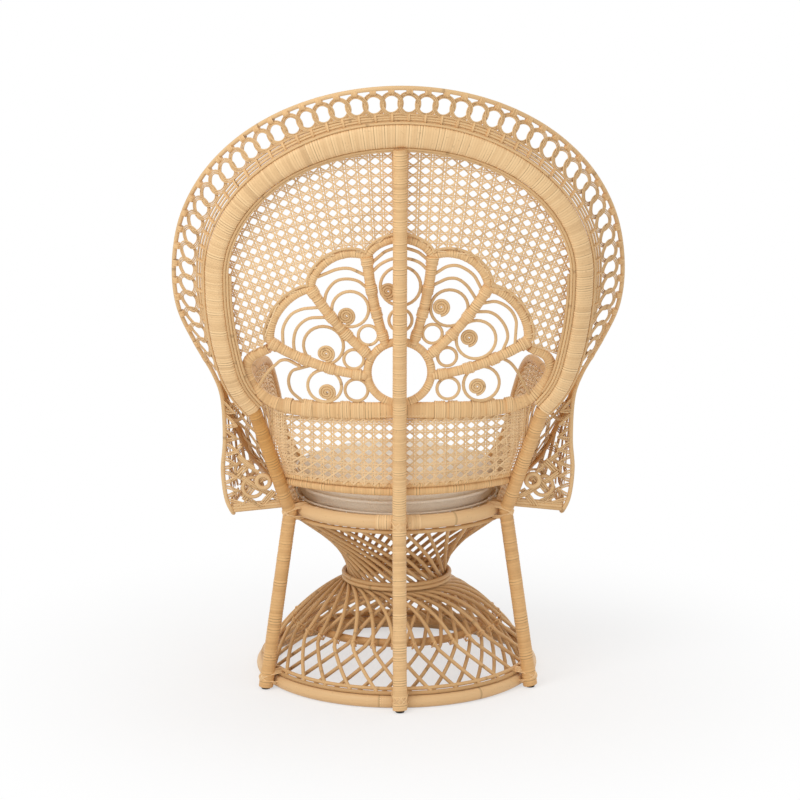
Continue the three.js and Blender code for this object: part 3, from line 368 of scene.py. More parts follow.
def sweep_tree():
    """Tree that sweeps a section along every path of a mesh of edges.

    A path that is cut in turn steps gets a ridge at each turn, as a pole wrapped in peel has.
    """
    tree = bpy.data.node_groups.get("cane_sweep")
    if tree:
        return tree
    tree = bpy.data.node_groups.new("cane_sweep", "GeometryNodeTree")
    tree.is_modifier = True
    tree.interface.new_socket("Geometry", in_out="INPUT", socket_type="NodeSocketGeometry")
    for name, kind in SWEEP_INPUTS:
        tree.interface.new_socket(name, in_out="INPUT", socket_type=kind)
    tree.interface.new_socket("Geometry", in_out="OUTPUT", socket_type="NodeSocketGeometry")
    given = node(tree, "NodeGroupInput").outputs

    def stored(geometry, name, kind, value):
        inputs = {"Geometry": geometry, "Name": name, "Value": value}
        return node(tree, "GeometryNodeStoreNamedAttribute", inputs, data_type=kind).outputs[0]

    def kept(name, kind):
        return node(tree, "GeometryNodeInputNamedAttribute", {"Name": name}, data_type=kind).outputs[0]

    path = node(tree, "GeometryNodeMeshToCurve", {"Mesh": given["Geometry"]}).outputs[0]
    length = node(tree, "GeometryNodeSplineLength").outputs[0]
    count = calc(tree, "ADD", calc(tree, "ROUND", calc(tree, "DIVIDE", length, given["Turn Step"])), 1.0)
    turns = node(tree, "GeometryNodeResampleCurve", {"Curve": path, "Count": count}, mode="COUNT").outputs[0]
    wrapped = calc(tree, "GREATER_THAN", given["Turn Step"], 0.0)
    choice = {"Switch": wrapped, "False": path, "True": turns}
    curve = node(tree, "GeometryNodeSwitch", choice, input_type="GEOMETRY").outputs[0]
    along = node(tree, "GeometryNodeSplineParameter").outputs
    curve = stored(curve, "spot", "FLOAT_VECTOR", node(tree, "GeometryNodeInputPosition").outputs[0])
    curve = stored(curve, "way", "FLOAT_VECTOR", node(tree, "GeometryNodeInputTangent").outputs[0])
    curve = stored(curve, "reach", "FLOAT", along["Length"])
    curve = stored(curve, "place", "INT", along["Index"])

    section = {"Resolution": given["Sides"], "Radius": 1.0}
    ring = node(tree, "GeometryNodeCurvePrimitiveCircle", section, mode="RADIUS").outputs[0]
    share = calc(tree, "DIVIDE", node(tree, "GeometryNodeInputIndex").outputs[0], given["Sides"])
    angle = calc(tree, "ADD", calc(tree, "MULTIPLY", share, 2 * math.pi), given["Section Turn"])
    ring = stored(ring, "corner", "FLOAT", angle)
    tube = {"Curve": curve, "Profile Curve": ring, "Fill Caps": True}
    tube = node(tree, "GeometryNodeCurveToMesh", tube).outputs[0]

    place = kept("place", "INT")
    phase = calc(tree, "MODULO", place, float(STEPS_PER_TURN))
    turn = calc(tree, "FLOOR", calc(tree, "DIVIDE", place, float(STEPS_PER_TURN)))
    strand = kept("strand_number", "FLOAT")
    name = calc(tree, "ADD", turn, calc(tree, "MULTIPLY", strand, 9973.0))
    drawn = {"ID": name, "Seed": given["Seed"]}
    chance = node(tree, "FunctionNodeRandomValue", drawn, data_type="FLOAT").outputs["Value"]
    bow = calc(tree, "SINE", calc(tree, "MULTIPLY", phase, math.pi / STEPS_PER_TURN))
    bow = calc(tree, "POWER", bow, 0.5)
    uneven = calc(tree, "MULTIPLY", calc(tree, "SUBTRACT", chance, 0.5), given["Jitter"])
    height = calc(tree, "MULTIPLY", given["Ridge"], calc(tree, "ADD", bow, uneven))

    def squared(wave):
        power = calc(tree, "POWER", calc(tree, "ABSOLUTE", wave), given["Squareness"])
        return calc(tree, "MULTIPLY", power, calc(tree, "SIGN", wave))

    corner = kept("corner", "FLOAT")
    across, inward = squared(calc(tree, "COSINE", corner)), squared(calc(tree, "SINE", corner))
    way = kept("way", "FLOAT_VECTOR")
    depth = vector(tree, "NORMALIZE", vector(tree, "CROSS_PRODUCT", way, kept("facing", "FLOAT_VECTOR")))
    width = vector(tree, "CROSS_PRODUCT", depth, way)
    half_wide = calc(tree, "ADD", kept("half_wide", "FLOAT"), height)
    half_deep = calc(tree, "ADD", kept("half_deep", "FLOAT"), height)
    spot = vector(
        tree, "ADD", kept("spot", "FLOAT_VECTOR"),
        scaled(tree, width, calc(tree, "MULTIPLY", half_wide, across)),
    )
    spot = vector(tree, "ADD", spot, scaled(tree, depth, calc(tree, "MULTIPLY", half_deep, inward)))
    spot = vector(tree, "ADD", spot, scaled(tree, way, calc(tree, "MULTIPLY", given["Tilt"], across)))
    tube = node(tree, "GeometryNodeSetPosition", {"Geometry": tube, "Position": spot}).outputs[0]

    reach = kept("reach", "FLOAT")
    grain = node(tree, "ShaderNodeCombineXYZ", {0: across, 1: inward, 2: reach}).outputs[0]
    tube = stored(tube, "grain", "FLOAT_VECTOR", grain)
    for name, plain, turned in (("strand", strand, chance), ("crest", 1.0, bow)):
        choice = {"Switch": wrapped, "False": plain, "True": turned}
        value = node(tree, "GeometryNodeSwitch", choice, input_type="FLOAT").outputs[0]
        tube = stored(tube, name, "FLOAT", value)
    shading = {"Geometry": tube, "Shade Smooth": given["Shade Smooth"]}
    tube = node(tree, "GeometryNodeSetShadeSmooth", shading).outputs[0]
    tube = node(tree, "GeometryNodeRealizeInstances", {"Geometry": tube}).outputs[0]
    tube = node(tree, "GeometryNodeSetMaterial", {"Geometry": tube, "Material": given["Material"]}).outputs[0]
    node(tree, "NodeGroupOutput", {"Geometry": tube})
    return tree


def linked(name, data):
    made = bpy.data.objects.new(name, data)
    bpy.context.scene.collection.objects.link(made)
    return made


def spots_of(mesh):
    spots = np.empty(len(mesh.vertices) * 3)
    mesh.vertices.foreach_get("co", spots)
    return spots.reshape(-1, 3)


def evaluated_mesh(thing, **options):
    """New mesh of an object as its modifiers leave it."""
    depsgraph = bpy.context.evaluated_depsgraph_get()
    return bpy.data.meshes.new_from_object(thing.evaluated_get(depsgraph), depsgraph=depsgraph, **options)


class Strands:
    """Paths gathered for one sweep, with the size and the facing of the section at every point."""

    def __init__(self):
        self.rows = {"spot": [], **{name: [] for name in PATH_VALUES}}
        self.edges = []
        self.points = 0
        self.paths = 0

    def add(self, points, wide, deep=None, facing=None, closed=False):
        """Adds one path. wide and deep are half sizes; facing is the way the section's width lies."""
        points = np.asarray(points, float)
        count = len(points)
        facing = carried(points) if facing is None else np.broadcast_to(facing, points.shape)
        self.paths += 1
        values = {
            "spot": points,
            "facing": facing,
            "half_wide": np.broadcast_to(wide, count) * MM,
            "half_deep": np.broadcast_to(wide if deep is None else deep, count) * MM,
            "strand_number": np.full(count, (self.paths * 0.618034) % 1),
        }
        for name, value in values.items():
            self.rows[name].append(np.asarray(value, float))
        ends = np.arange(count - 1) + self.points
        self.edges.append(np.stack((ends, ends + 1), axis=-1))
        if closed:
            self.edges.append(np.array([[self.points + count - 1, self.points]]))
        self.points += count
        return self

    def mesh(self, name):
        mesh = bpy.data.meshes.new(name)
        spots = np.vstack(self.rows["spot"]) * MM + SHIFT
        edges = np.vstack(self.edges)
        mesh.vertices.add(len(spots))
        mesh.vertices.foreach_set("co", spots.ravel())
        mesh.edges.add(len(edges))
        mesh.edges.foreach_set("vertices", edges.ravel())
        for value in PATH_VALUES:
            kind, slot = ("FLOAT_VECTOR", "vector") if value == "facing" else ("FLOAT", "value")
            stacked = np.concatenate(self.rows[value])
            mesh.attributes.new(value, kind, "POINT").data.foreach_set(slot, stacked.ravel())
        return mesh


def carried(points):
    """A direction across a path at each point, carried along without twist."""
    along = unit(np.gradient(points, axis=0))
    facing = np.empty_like(points)
    last = np.cross(along[0], UP if abs(along[0][2]) < 0.8 else BACK)
    for i, way in enumerate(along):
        last = unit(last - way * last.dot(way))
        facing[i] = last
    return facing


def sweep(name, strands, slot, nodes=(), sides=8, pitch=0.0, ridge=0.0, tilt=0.0, jitter=0.0,
          squareness=1.0, turned=0.0, smooth=True, stain=0.0, body="frame"):
    """Sweeps gathered paths into one finished piece, and hides the solids it stands for."""
    tree = sweep_tree()
    carrier = linked(name + "_paths", strands.mesh(name + "_paths"))
    modifier = carrier.modifiers.new("cane_sweep", "NODES")
    modifier.node_group = tree
    given = {
        "Sides": sides, "Turn Step": pitch / STEPS_PER_TURN, "Ridge": ridge * MM, "Tilt": tilt * MM,
        "Jitter": jitter, "Squareness": squareness, "Section Turn": turned, "Shade Smooth": smooth,
        "Seed": SWEEP_SEED, "Material": finish(slot),
    }
    for item in tree.interface.items_tree:
        if item.in_out == "INPUT" and item.name in given:
            modifier[item.identifier] = given[item.name]
    mesh = evaluated_mesh(carrier, preserve_all_data_layers=True)
    bpy.data.objects.remove(carrier)
    for value in HELPER_VALUES:
        if value in mesh.attributes:
            mesh.attributes.remove(mesh.attributes[value])
    height = (spots_of(mesh)[:, 2] - SHIFT[2]) / MM
    depths = stain(height) if callable(stain) else np.full(height.shape, stain)
    mesh.attributes.new("stain", "FLOAT", "POINT").data.foreach_set("value", depths)
    return placed(name, mesh, nodes, body)


def placed(name, mesh, nodes=(), body="frame"):
    """Links a finished mesh as a piece that rides on a body."""
    if not len(mesh.polygons):
        raise RuntimeError(f"{name} has no faces")
    mesh.name = name
    piece = linked(name, mesh)
    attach(piece, body)
    if nodes:
        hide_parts(*nodes)
    return piece


def ring(radius, z, count=96):
    return around_back(radius, np.arange(count) * (360 / count), z)


# Steps in which a surface's facing is measured, on surfaces given by shares and on the panels in mm
SHARE_STEP, PANEL_STEP = (1e-3, 1e-3), (1.0, 1.0)


def edge_to_edge(at, u):
    """From a surface's near edge to its far edge, at each share of its length."""
    return at(u, np.ones_like(u)) - at(u, np.zeros_like(u))


def on_surface(at, u, v, lift, step):
    """Points on a surface, raised off it, with the surface's facing there."""
    here = at(u, v)
    du = at(u + step[0], v) - at(u - step[0], v)
    dv = at(u, v + step[1]) - at(u, v - step[1])
    normal = unit(np.cross(du, dv))
    return here + normal * np.asarray(lift)[..., None], normal


def add_ribbon(strands, at, u, v, lift, step, wide, deep):
    """Adds a flat strand that lies on a surface."""
    points, normal = on_surface(at, u, v, lift, step)
    strands.add(points, wide, deep, facing=np.cross(normal, unit(np.gradient(points, axis=0))))


def runs(mask, least=2):
    """Start and end of every unbroken run of true values."""
    edges = np.flatnonzero(np.diff(np.concatenate(((0,), mask.astype(int), (0,)))))
    return [(a, b) for a, b in zip(edges[::2], edges[1::2]) if b - a >= least]


# Finishes
def finish(slot):
    name = slot + "_finish"
    return bpy.data.materials.get(name) or FINISHES[slot](name)


def new_material(name):
    material = bpy.data.materials.new(name)
    material.use_nodes = True
    material.node_tree.nodes.clear()
    return material, material.node_tree


def attribute(tree, name, output="Fac"):
    return node(tree, "ShaderNodeAttribute", attribute_name=name).outputs[output]


def ramp(tree, value, *stops):
    made = node(tree, "ShaderNodeValToRGB", {"Fac": value})
    elements = made.color_ramp.elements
    while len(elements) < len(stops):
        elements.new(0.5)
    for element, (place, colour) in zip(elements, stops):
        element.position = place
        element.color = (*colour, 1)
    return made.outputs["Color"]


def tinted(colour, factor, warm=1.0):
    r, g, b = (min(c * factor, 1) for c in colour)
    return (min(r * warm, 1), g, b / warm)


def mixed(tree, factor, a, b, blend="MIX"):
    inputs = {0: factor, 6: a if isinstance(a, bpy.types.NodeSocket) else (*a, 1)}
    inputs[7] = b if isinstance(b, bpy.types.NodeSocket) else (*b, 1)
    return node(tree, "ShaderNodeMix", inputs, data_type="RGBA", blend_type=blend).outputs[2]


def noise(tree, coordinates, scale, **inputs):
    mapped = node(tree, "ShaderNodeMapping", {"Vector": coordinates, "Scale": scale}).outputs[0]
    values = {"Vector": mapped, "Scale": 1.0, **inputs}
    return node(tree, "ShaderNodeTexNoise", values).outputs["Fac"]


def surfaced(tree, inputs, height, strength, distance):
    """Ends a material's tree with a bumped surface."""
    bump = node(tree, "ShaderNodeBump", {"Strength": strength, "Distance": distance, "Height": height})
    surface = node(tree, "ShaderNodeBsdfPrincipled", {**inputs, "Normal": bump.outputs[0]})
    node(tree, "ShaderNodeOutputMaterial", {"Surface": surface.outputs[0]})


def cane_material(slot, colour, fibre_scale, gloss, knuckles=0.0):
    """Cane with fibres along its grain, a tone for each strand and painted shade in the grooves between
    turns.
    """
    material, tree = new_material(slot)
    grain = attribute(tree, "grain", "Vector")
    strand = attribute(tree, "strand")
    crest = attribute(tree, "crest")
    here = node(tree, "ShaderNodeTexCoord").outputs["Object"]
    fibre = noise(tree, grain, fibre_scale, Detail=4.0, Roughness=0.65)
    blotch = noise(tree, here, (6.0, 6.0, 6.0), Detail=3.0)
    patch = noise(tree, here, (34.0, 34.0, 34.0), Detail=2.0)
    speck = noise(tree, here, (170.0, 170.0, 170.0), Detail=1.0)
    tone = calc(tree, "ADD", calc(tree, "MULTIPLY", strand, 0.34), calc(tree, "MULTIPLY", fibre, 0.42))
    tone = calc(tree, "ADD", tone, calc(tree, "MULTIPLY", blotch, 0.36))
    shade = ramp(
        tree, tone, (0.28, tinted(colour, 0.66, 1.07)), (0.46, tinted(colour, 0.9, 1.03)),
        (0.64, colour), (0.9, tinted(colour, 1.12, 0.97)),
    )
    stained = mixed(tree, attribute(tree, "stain"), (1, 1, 1), STAIN)
    shade = mixed(tree, 1.0, shade, stained, "MULTIPLY")
    marks = ramp(tree, speck, (0.67, (0, 0, 0)), (0.78, (1, 1, 1)))
    shade = mixed(tree, calc(tree, "MULTIPLY", marks, 0.3), shade, tinted(colour, 0.34, 1.12))
    if knuckles:
        way = node(tree, "ShaderNodeSeparateXYZ", {0: grain}).outputs[2]
        beat = calc(tree, "ADD", calc(tree, "DIVIDE", way, knuckles), calc(tree, "MULTIPLY", strand, 3.0))
        joint = ramp(
            tree, calc(tree, "FRACT", beat),
            (0.0, (0.75, 0.75, 0.75)), (0.010, (0.6, 0.6, 0.6)), (0.022, (0, 0, 0)),
        )
        shade = mixed(tree, joint, shade, tinted(colour, 0.5, 1.08))
    # Painted shade: the grooves between turns of peel are darkened, more on some turns than others at random.
    painted_groove_shade = ramp(tree, crest, (0.0, (1, 1, 1)), (0.3, (0.5, 0.5, 0.5)), (0.7, (0, 0, 0)))
    chance = calc(tree, "MULTIPLY", strand, calc(tree, "ADD", patch, 0.5))
    groove_shade_strength = ramp(
        tree, chance, (0.3, (0.1, 0.1, 0.1)), (0.66, (0.28, 0.28, 0.28)), (0.86, (0.9, 0.9, 0.9)),
    )
    shade = mixed(tree, calc(tree, "MULTIPLY", painted_groove_shade, groove_shade_strength), shade, tinted(colour, 0.22, 1.25))
    roughness = node(
        tree, "ShaderNodeMapRange", {"Value": fibre, "To Min": gloss - 0.08, "To Max": gloss + 0.16},
    ).outputs[0]
    look = {"Base Color": shade, "Roughness": roughness, "Specular IOR Level": 0.25}
    surfaced(tree, look, fibre, 0.35, 0.0004)
    return material


STAIN = (0.66, 0.42, 0.10)  # what the darker poles keep of the cane's colour
AROUND_GRAIN = (1.2, 1.2, 2600.0)
ALONG_GRAIN = (11.0, 11.0, 9.0)


def linen_material(slot):
    """Plain-woven linen with uneven threads."""
    colour = tuple(finishes().linen)
    material, tree = new_material(slot)
    here = node(tree, "ShaderNodeTexCoord").outputs["Object"]
    threads = []
    for direction in ("X", "Y", "Z"):
        wave = {"Vector": here, "Scale": 210.0, "Distortion": 1.5, "Detail": 2.0, "Detail Scale": 3.0}
        threads.append(node(tree, "ShaderNodeTexWave", wave, bands_direction=direction).outputs["Fac"])
    weave = calc(tree, "MAXIMUM", calc(tree, "MAXIMUM", threads[0], threads[1]), threads[2])
    slub = noise(tree, here, (40.0, 260.0, 260.0), Detail=3.0)
    soft = noise(tree, here, (9.0, 9.0, 9.0), Detail=2.0)
    tone = calc(tree, "ADD", calc(tree, "MULTIPLY", weave, 0.35), calc(tree, "MULTIPLY", slub, 0.45))
    tone = calc(tree, "ADD", tone, calc(tree, "MULTIPLY", soft, 0.3))
    shade = ramp(tree, tone, (0.3, tinted(colour, 0.72)), (0.6, colour), (0.95, tinted(colour, 1.15)))
    look = {"Base Color": shade, "Roughness": 0.92, "Sheen Weight": 0.25}
    surfaced(tree, look, calc(tree, "ADD", weave, slub), 0.4, 0.0008)
    return material


def rubber_material(slot):
    """Dark moulded rubber with a scuffed surface."""
    colour = tuple(finishes().rubber)
    material, tree = new_material(slot)
    here = node(tree, "ShaderNodeTexCoord").outputs["Object"]
    scuff = noise(tree, here, (300.0, 300.0, 90.0), Detail=3.0)
    shade = ramp(tree, scuff, (0.35, colour), (0.8, tinted(colour, 2.2)))
    surfaced(tree, {"Base Color": shade, "Roughness": 0.78}, scuff, 0.3, 0.0004)
    return material


FINISHES = {
    "peel_wrap": lambda slot: cane_material(slot, tuple(finishes().peel), AROUND_GRAIN, 0.42),
    "smooth_pole": lambda slot: cane_material(slot, tuple(finishes().pole), ALONG_GRAIN, 0.38, 0.31),
    "rattan_cane": lambda slot: cane_material(slot, tuple(finishes().cane), ALONG_GRAIN, 0.42, 0.45),
    "woven_cane": lambda slot: cane_material(slot, tuple(finishes().weave), ALONG_GRAIN, 0.45),
    "cushion_fabric": linen_material,
    "glide_rubber": rubber_material,
}


class PieceOperator:
    """What every operator of the chair shares"""

    bl_options = {"REGISTER", "UNDO"}


# Wrapped runs of the hoops: reach, pole, height, first and last angle
HOOP_WRAPS = (
    (SEAT_HOOP, SEAT_POLE, SEAT_HEIGHT, 3.5, 11.5),
    (SEAT_HOOP, SEAT_POLE, SEAT_HEIGHT, -10.5, -4.0),
    (BASE_HOOP, BASE_POLE, BASE_POLE, 3.2, 13.5),
    (BASE_HOOP, BASE_POLE, BASE_POLE, 64.0, 84.0),
    (BASE_HOOP, BASE_POLE, BASE_POLE, -84.0, -64.0),
)


class PEACOCK_OT_hoops(PieceOperator, bpy.types.Operator):
    """Bend the bottom hoop, the seat hoop, the waist coils and the brace ring"""

    bl_idname = "peacock.hoops"
    bl_label = "Hoops and rings"

    def execute(self, context):
        for name, radius, pole, z in (
            ("base_hoop_pole", BASE_HOOP, BASE_POLE, BASE_POLE),
            ("seat_hoop_pole", SEAT_HOOP, SEAT_POLE, SEAT_HEIGHT),
        ):
            hoop = Strands().add(ring(radius, z, 128), pole, closed=True)
            sweep(name, hoop, "smooth_pole", [name.removesuffix("_pole")], 20)
        wraps = Strands()
        for radius, pole, z, first, last in HOOP_WRAPS:
            wraps.add(around_back(radius, np.linspace(first, last, 12), z), min(pole + 0.5, z - 1.0))
        sweep("hoop_wraps", wraps, "peel_wrap", (), 18,
              pitch=sizes().wrap_pitch, ridge=0.8, tilt=0.6, jitter=0.6)
        coils = Strands()
        for level in (-1, 1):
            coils.add(ring(WAIST_RING, WAIST_HEIGHT + WAIST_COIL * level), WAIST_COIL, closed=True)
        sweep("waist_coils", coils, "rattan_cane", ["waist_ring"], 10, stain=0.2)
        low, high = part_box("brace_ring")
        reach = (high.x - low.x) / 2 / MM - BRACE_ROD
        brace = Strands().add(ring(reach, BRACE_HEIGHT), BRACE_ROD, closed=True)
        sweep("brace_ring_pole", brace, "smooth_pole", ["brace_ring"], 14, stain=0.45)
        return {"FINISHED"}


STAKE_ROD = 4.7
LONG_WAIST, COUNTER_WAIST = 118.5, 104.5
# Degrees off a straight course, at the brace ring and at the base hoop
LONG_LAG, COUNTER_SWING = -10.0, 17.0
# Courses of the stakes, as reach past the waist and height: the upper run of the long ones, then for each
# family where the dome starts, how far it reaches and the height where it ends
LONG_NECK = ((-249.3, 421.0), (-88.7, 316.6), (0.0, WAIST_HEIGHT))
LONG_DOME, COUNTER_DOME = ((30.0, 226.6), 314.4, 38.5), ((30.0, 219.6), 294.5, 22.0)
# Liner canes at the ends of the stakes: radius, height, half width
LONG_LINERS = ((276.0, 420.0, 5.5), (337.0, 36.4, 5.2), (331.0, 45.6, 4.8))
COUNTER_LINERS = ((312.5, 21.0, 5.5),)


def dome_profile(start, reach, height):
    t = np.linspace(0, 1, 9)[:, None]
    start, end = np.array(start), np.array((reach, height))
    bulge = np.array((0.55 * reach, start[1] - WAIST_COIL))
    return start * (1 - t) ** 2 + 2 * bulge * t * (1 - t) + end * t**2


def stake(profile, waist, hand, swings, number, count):
    reach, z = profile.T
    at_brace, at_end = swings
    swing = np.interp(z, (z[-1], BRACE_HEIGHT, WAIST_HEIGHT), (at_end, at_brace, 0.0))
    a = 360 * number / count + hand * (np.degrees(np.arctan2(reach, waist)) + swing)
    return around_back(np.hypot(waist, reach), a, z)


class PEACOCK_OT_stakes(PieceOperator, bpy.types.Operator):
    """Set the slanted stakes of the base and their liner canes"""

    bl_idname = "peacock.stakes"
    bl_label = "Stakes"

    def execute(self, context):
        count = sizes().stakes
        long_line = Course([*LONG_NECK, *dome_profile(*LONG_DOME)]).spaced(34)
        counter_line = Course(dome_profile(*COUNTER_DOME)).spaced(20)
        families = (
            ("long_stake", long_line, LONG_WAIST, -1, (LONG_LAG, 0.0), LONG_LINERS),
            ("counter_stake", counter_line, COUNTER_WAIST, 1, (0.0, COUNTER_SWING), COUNTER_LINERS),
        )
        for name, line, waist, hand, swings, liners in families:
            canes = Strands()
            for number in range(count):
                canes.add(stake(line, waist, hand, swings, number, count), STAKE_ROD)
            for radius, z, rod in liners:
                canes.add(ring(radius, z), rod, closed=True)
            sweep(f"{name}_canes", canes, "rattan_cane", [f"{name}s"], 8, stain=0.22)
        ties = Strands()
        a = np.linspace(0, 2 * np.pi, 14, endpoint=False)
        for number in range(count):
            cane = Course(stake(long_line, LONG_WAIST, -1, (LONG_LAG, 0.0), number, count)).spaced(400)
            cane = cane[cane[:, 2] < WAIST_HEIGHT]
            near = np.abs(cane[:, 2] - BRACE_HEIGHT - 8.0).argmin()
            along = unit(np.gradient(cane, axis=0)[near])
            bar = unit(np.cross(UP, cane[near]))
            out = unit(np.cross(along, bar))
            out *= np.sign(out[2])
            for hand in (-1, 1):
                beside = unit(np.cross(unit(along + hand * bar), out))
                wide = lerp(10.0, 6.6, (np.cos(a) + 1) / 2)
                loop = cane[near] + np.outer(11.0 * np.cos(a) - 5.0, out) + np.outer(np.sin(a) * wide, beside)
                ties.add(loop, 1.8, 1.2, facing=unit(along + hand * bar), closed=True)
        sweep("brace_ties", ties, "peel_wrap", (), 6, stain=0.3)
        return {"FINISHED"}


# How dark the upper run of each side post is
POST_STAIN = {"left": 0.75, "right": 0.4}


def side_leg(side):
    foot = around_back(FOOT_REACH, side * SIDE_FOOT_ANGLE, POST_FOOT)
    knee = mirrored(SIDE_SEAT, side)
    head = np.array((side * BAND_END[0], frame_depth(BAND_END[1]), BAND_END[1] + 2))
    return foot, knee, head


def post_pole(line):
    """Half width of a post under its wrap, which is thicker round the foot."""
    return np.where(line[:, 2] < FOOT_WRAP_HEIGHT, FOOT_POLE, POST_POLE) - 0.2


def bent(*corners, steps):
    """Straight runs between corners, with many points."""
    t = np.linspace(0, 1, steps, endpoint=False)
    rows = [between(a, b, t) for a, b in zip(corners, corners[1:])]
    return np.vstack((*rows, corners[-1]))


LASHING_TURNS, LASHING_ROD, LASHING_WIDE, FOOT_LASHING = 5, 1.5, 25.0, 30.0


def add_lashing(strands, spot, along, across, outward, reach):
    """Adds crossed turns of peel that tie two poles where they meet."""
    a = np.linspace(0, 2 * np.pi, 20, endpoint=False)
    for hand in (-1, 1):
        slant = unit(along + hand * across)
        beside = unit(np.cross(slant, outward))
        for turn in range(LASHING_TURNS):
            shift = (turn - (LASHING_TURNS - 1) / 2) * 2.2 * LASHING_ROD * beside
            lift = reach + 0.5 * (hand > 0)
            out, beyond = (np.sign(f(a)) * np.abs(f(a)) ** 0.8 for f in (np.sin, np.cos))
            hug = beyond * LASHING_WIDE * lerp(1.0, 0.7, (out + 1) / 2)
            loop = spot + shift + np.outer(hug, slant) + np.outer(out * lift, outward)
            facing = np.broadcast_to(beside, loop.shape)
            strands.add(loop, LASHING_ROD, 0.75 * LASHING_ROD, facing=facing, closed=True)


# Radius and height round a glide
GLIDE_PROFILE = ((0, 0), (8.6, 0), (10.4, 0.7), (11, 1.9), (10.8, 3.4), (9.9, 5.0), (0, 5.0))


class PEACOCK_OT_posts(PieceOperator, bpy.types.Operator):
    """Wrap the three rear posts in peel and seat their glides"""

    bl_idname = "peacock.posts"
    bl_label = "Posts and glides"

    def execute(self, context):
        foot = np.array((0.0, FOOT_REACH, POST_FOOT))
        knee = np.array((0.0, POST_REACH, SEAT_HEIGHT))
        head = np.array((0.0, spine_depth(SPINE_TOP), SPINE_TOP))
        spine = bent(foot, knee, head, steps=60)
        pole = post_pole(spine)
        sweep("spine_wrap", Strands().add(spine, pole), "peel_wrap", ["rear_centre_post"], 16,
              pitch=sizes().wrap_pitch, ridge=0.5, tilt=0.8, jitter=0.7, stain=0.16)
        for label, side in SIDES:
            foot, knee, head = side_leg(side)
            leg = bent(foot, knee, head, steps=40)
            pole = post_pole(leg)
            sweep(f"{label}_post_wrap", Strands().add(leg, pole), "peel_wrap", [f"rear_{label}_post"], 16,
                  pitch=sizes().strip_pitch, ridge=0.6, tilt=1.0, jitter=0.8,
                  stain=lambda z, upper=POST_STAIN[label]: lerp(0.42, upper, smoothstep(z, 420, 600)))
        liners = Strands()
        for _, side in SIDES:
            foot, knee, _ = side_leg(side)
            beside = unit(np.cross(UP, knee)) * -side * (POST_POLE + 3.0)
            liners.add(between(foot, knee, np.linspace(0.08, 0.93, 24)) + beside, 4.6)
        sweep("post_liners", liners, "smooth_pole", (), 10, stain=0.3)
        glides = {"centre_glide": 0.0, "left_glide": SIDE_FOOT_ANGLE, "right_glide": -SIDE_FOOT_ANGLE}
        for name, angle in glides.items():
            mesh = turned_mesh(GLIDE_PROFILE, around_back(FOOT_REACH, angle, 0.0), 32, "glide_rubber")
            placed(f"{name}_foot", mesh, [name])
        return {"FINISHED"}


def turned_mesh(profile, centre, count, slot):
    """Closed mesh turned about an upright axis from a profile of radius and height."""
    mesh = bmesh.new()
    a = np.arange(count) * 2 * np.pi / count
    rings = []
    for radius, z in profile:
        if radius == 0:
            rings.append([mesh.verts.new((centre + (0, 0, z)) * MM + SHIFT)])
            continue
        spots = centre + np.stack((radius * np.cos(a), radius * np.sin(a), np.full(count, z)), axis=-1)
        rings.append([mesh.verts.new(p * MM + SHIFT) for p in spots])
    for low, high in zip(rings, rings[1:]):
        for i in range(count):
            j = (i + 1) % count
            if len(low) == 1:
                mesh.faces.new((low[0], high[j], high[i]))
            elif len(high) == 1:
                mesh.faces.new((low[i], low[j], high[0]))
            else:
                mesh.faces.new((low[i], low[j], high[j], high[i]))
    for face in mesh.faces:
        face.smooth = True
    made = bpy.data.meshes.new("turned")
    mesh.to_mesh(made)
    mesh.free()
    made.materials.append(finish(slot))
    return made


# Canes beside the band: which edge, how far out, how far behind, half width
BAND_CORDS = ((1, 3.2, 6.0, 3.1), (-1, 3.4, 5.0, 3.4), (-1, 8.8, 1.0, 3.6))


class PEACOCK_OT_band(PieceOperator, bpy.types.Operator):
    """Wrap the wide horseshoe band and lay its edge cords"""

    bl_idname = "peacock.band"
    bl_label = "Back band"

    def execute(self, context):
        band = Strands().add(
            whole_band(BAND_CENTRE), whole_band(BAND_FACE), BAND_THICKNESS / 2 - 0.6,
            facing=whole_band(BAND_FACING),
        )
        sweep("back_band_wrap", band, "peel_wrap", ["back_band"], 20,
              pitch=sizes().wrap_pitch, ridge=0.45, tilt=0.7, jitter=0.8, squareness=0.72)
        behind = unit(np.cross(np.gradient(BAND_CENTRE, axis=0), BAND_FACING))
        behind *= np.sign(behind[:, 1:2])
        cords = Strands()
        for edge, out, lift, rod in BAND_CORDS:
            line = BAND_CENTRE + BAND_FACING * (edge * (BAND_FACE + out))[:, None] + behind * lift
            cords.add(whole_band(line), rod)
        leg = slice(int(0.62 * len(BAND)), -4)
        line = (BAND_CENTRE - BAND_FACING * (BAND_FACE + 14.0)[:, None] - behind * 4.0)[leg]
        for _, side in SIDES:
            cords.add(mirrored(line, side), 3.8)
        sweep("band_edge_canes", cords, "rattan_cane", (), 8)
        return {"FINISHED"}


MID_RAIL_CURL = ((0, 727), (200, 723), (285, 729), (328, 753), (361, 807), (352, 844), (307, 872))
LINER_REACH, LINER_ROD = 292, 3.2
MID_RAIL_HALF = Course([(x, 0, z) for x, z in MID_RAIL_CURL]).spaced(60)


def mid_rail_tall(x):
    return lerp(41.0, 28.0, smoothstep(np.abs(x), 190, 330))


def lower_panel_reach(z):
    return np.minimum(frame_half_width(z) - 8, 304)


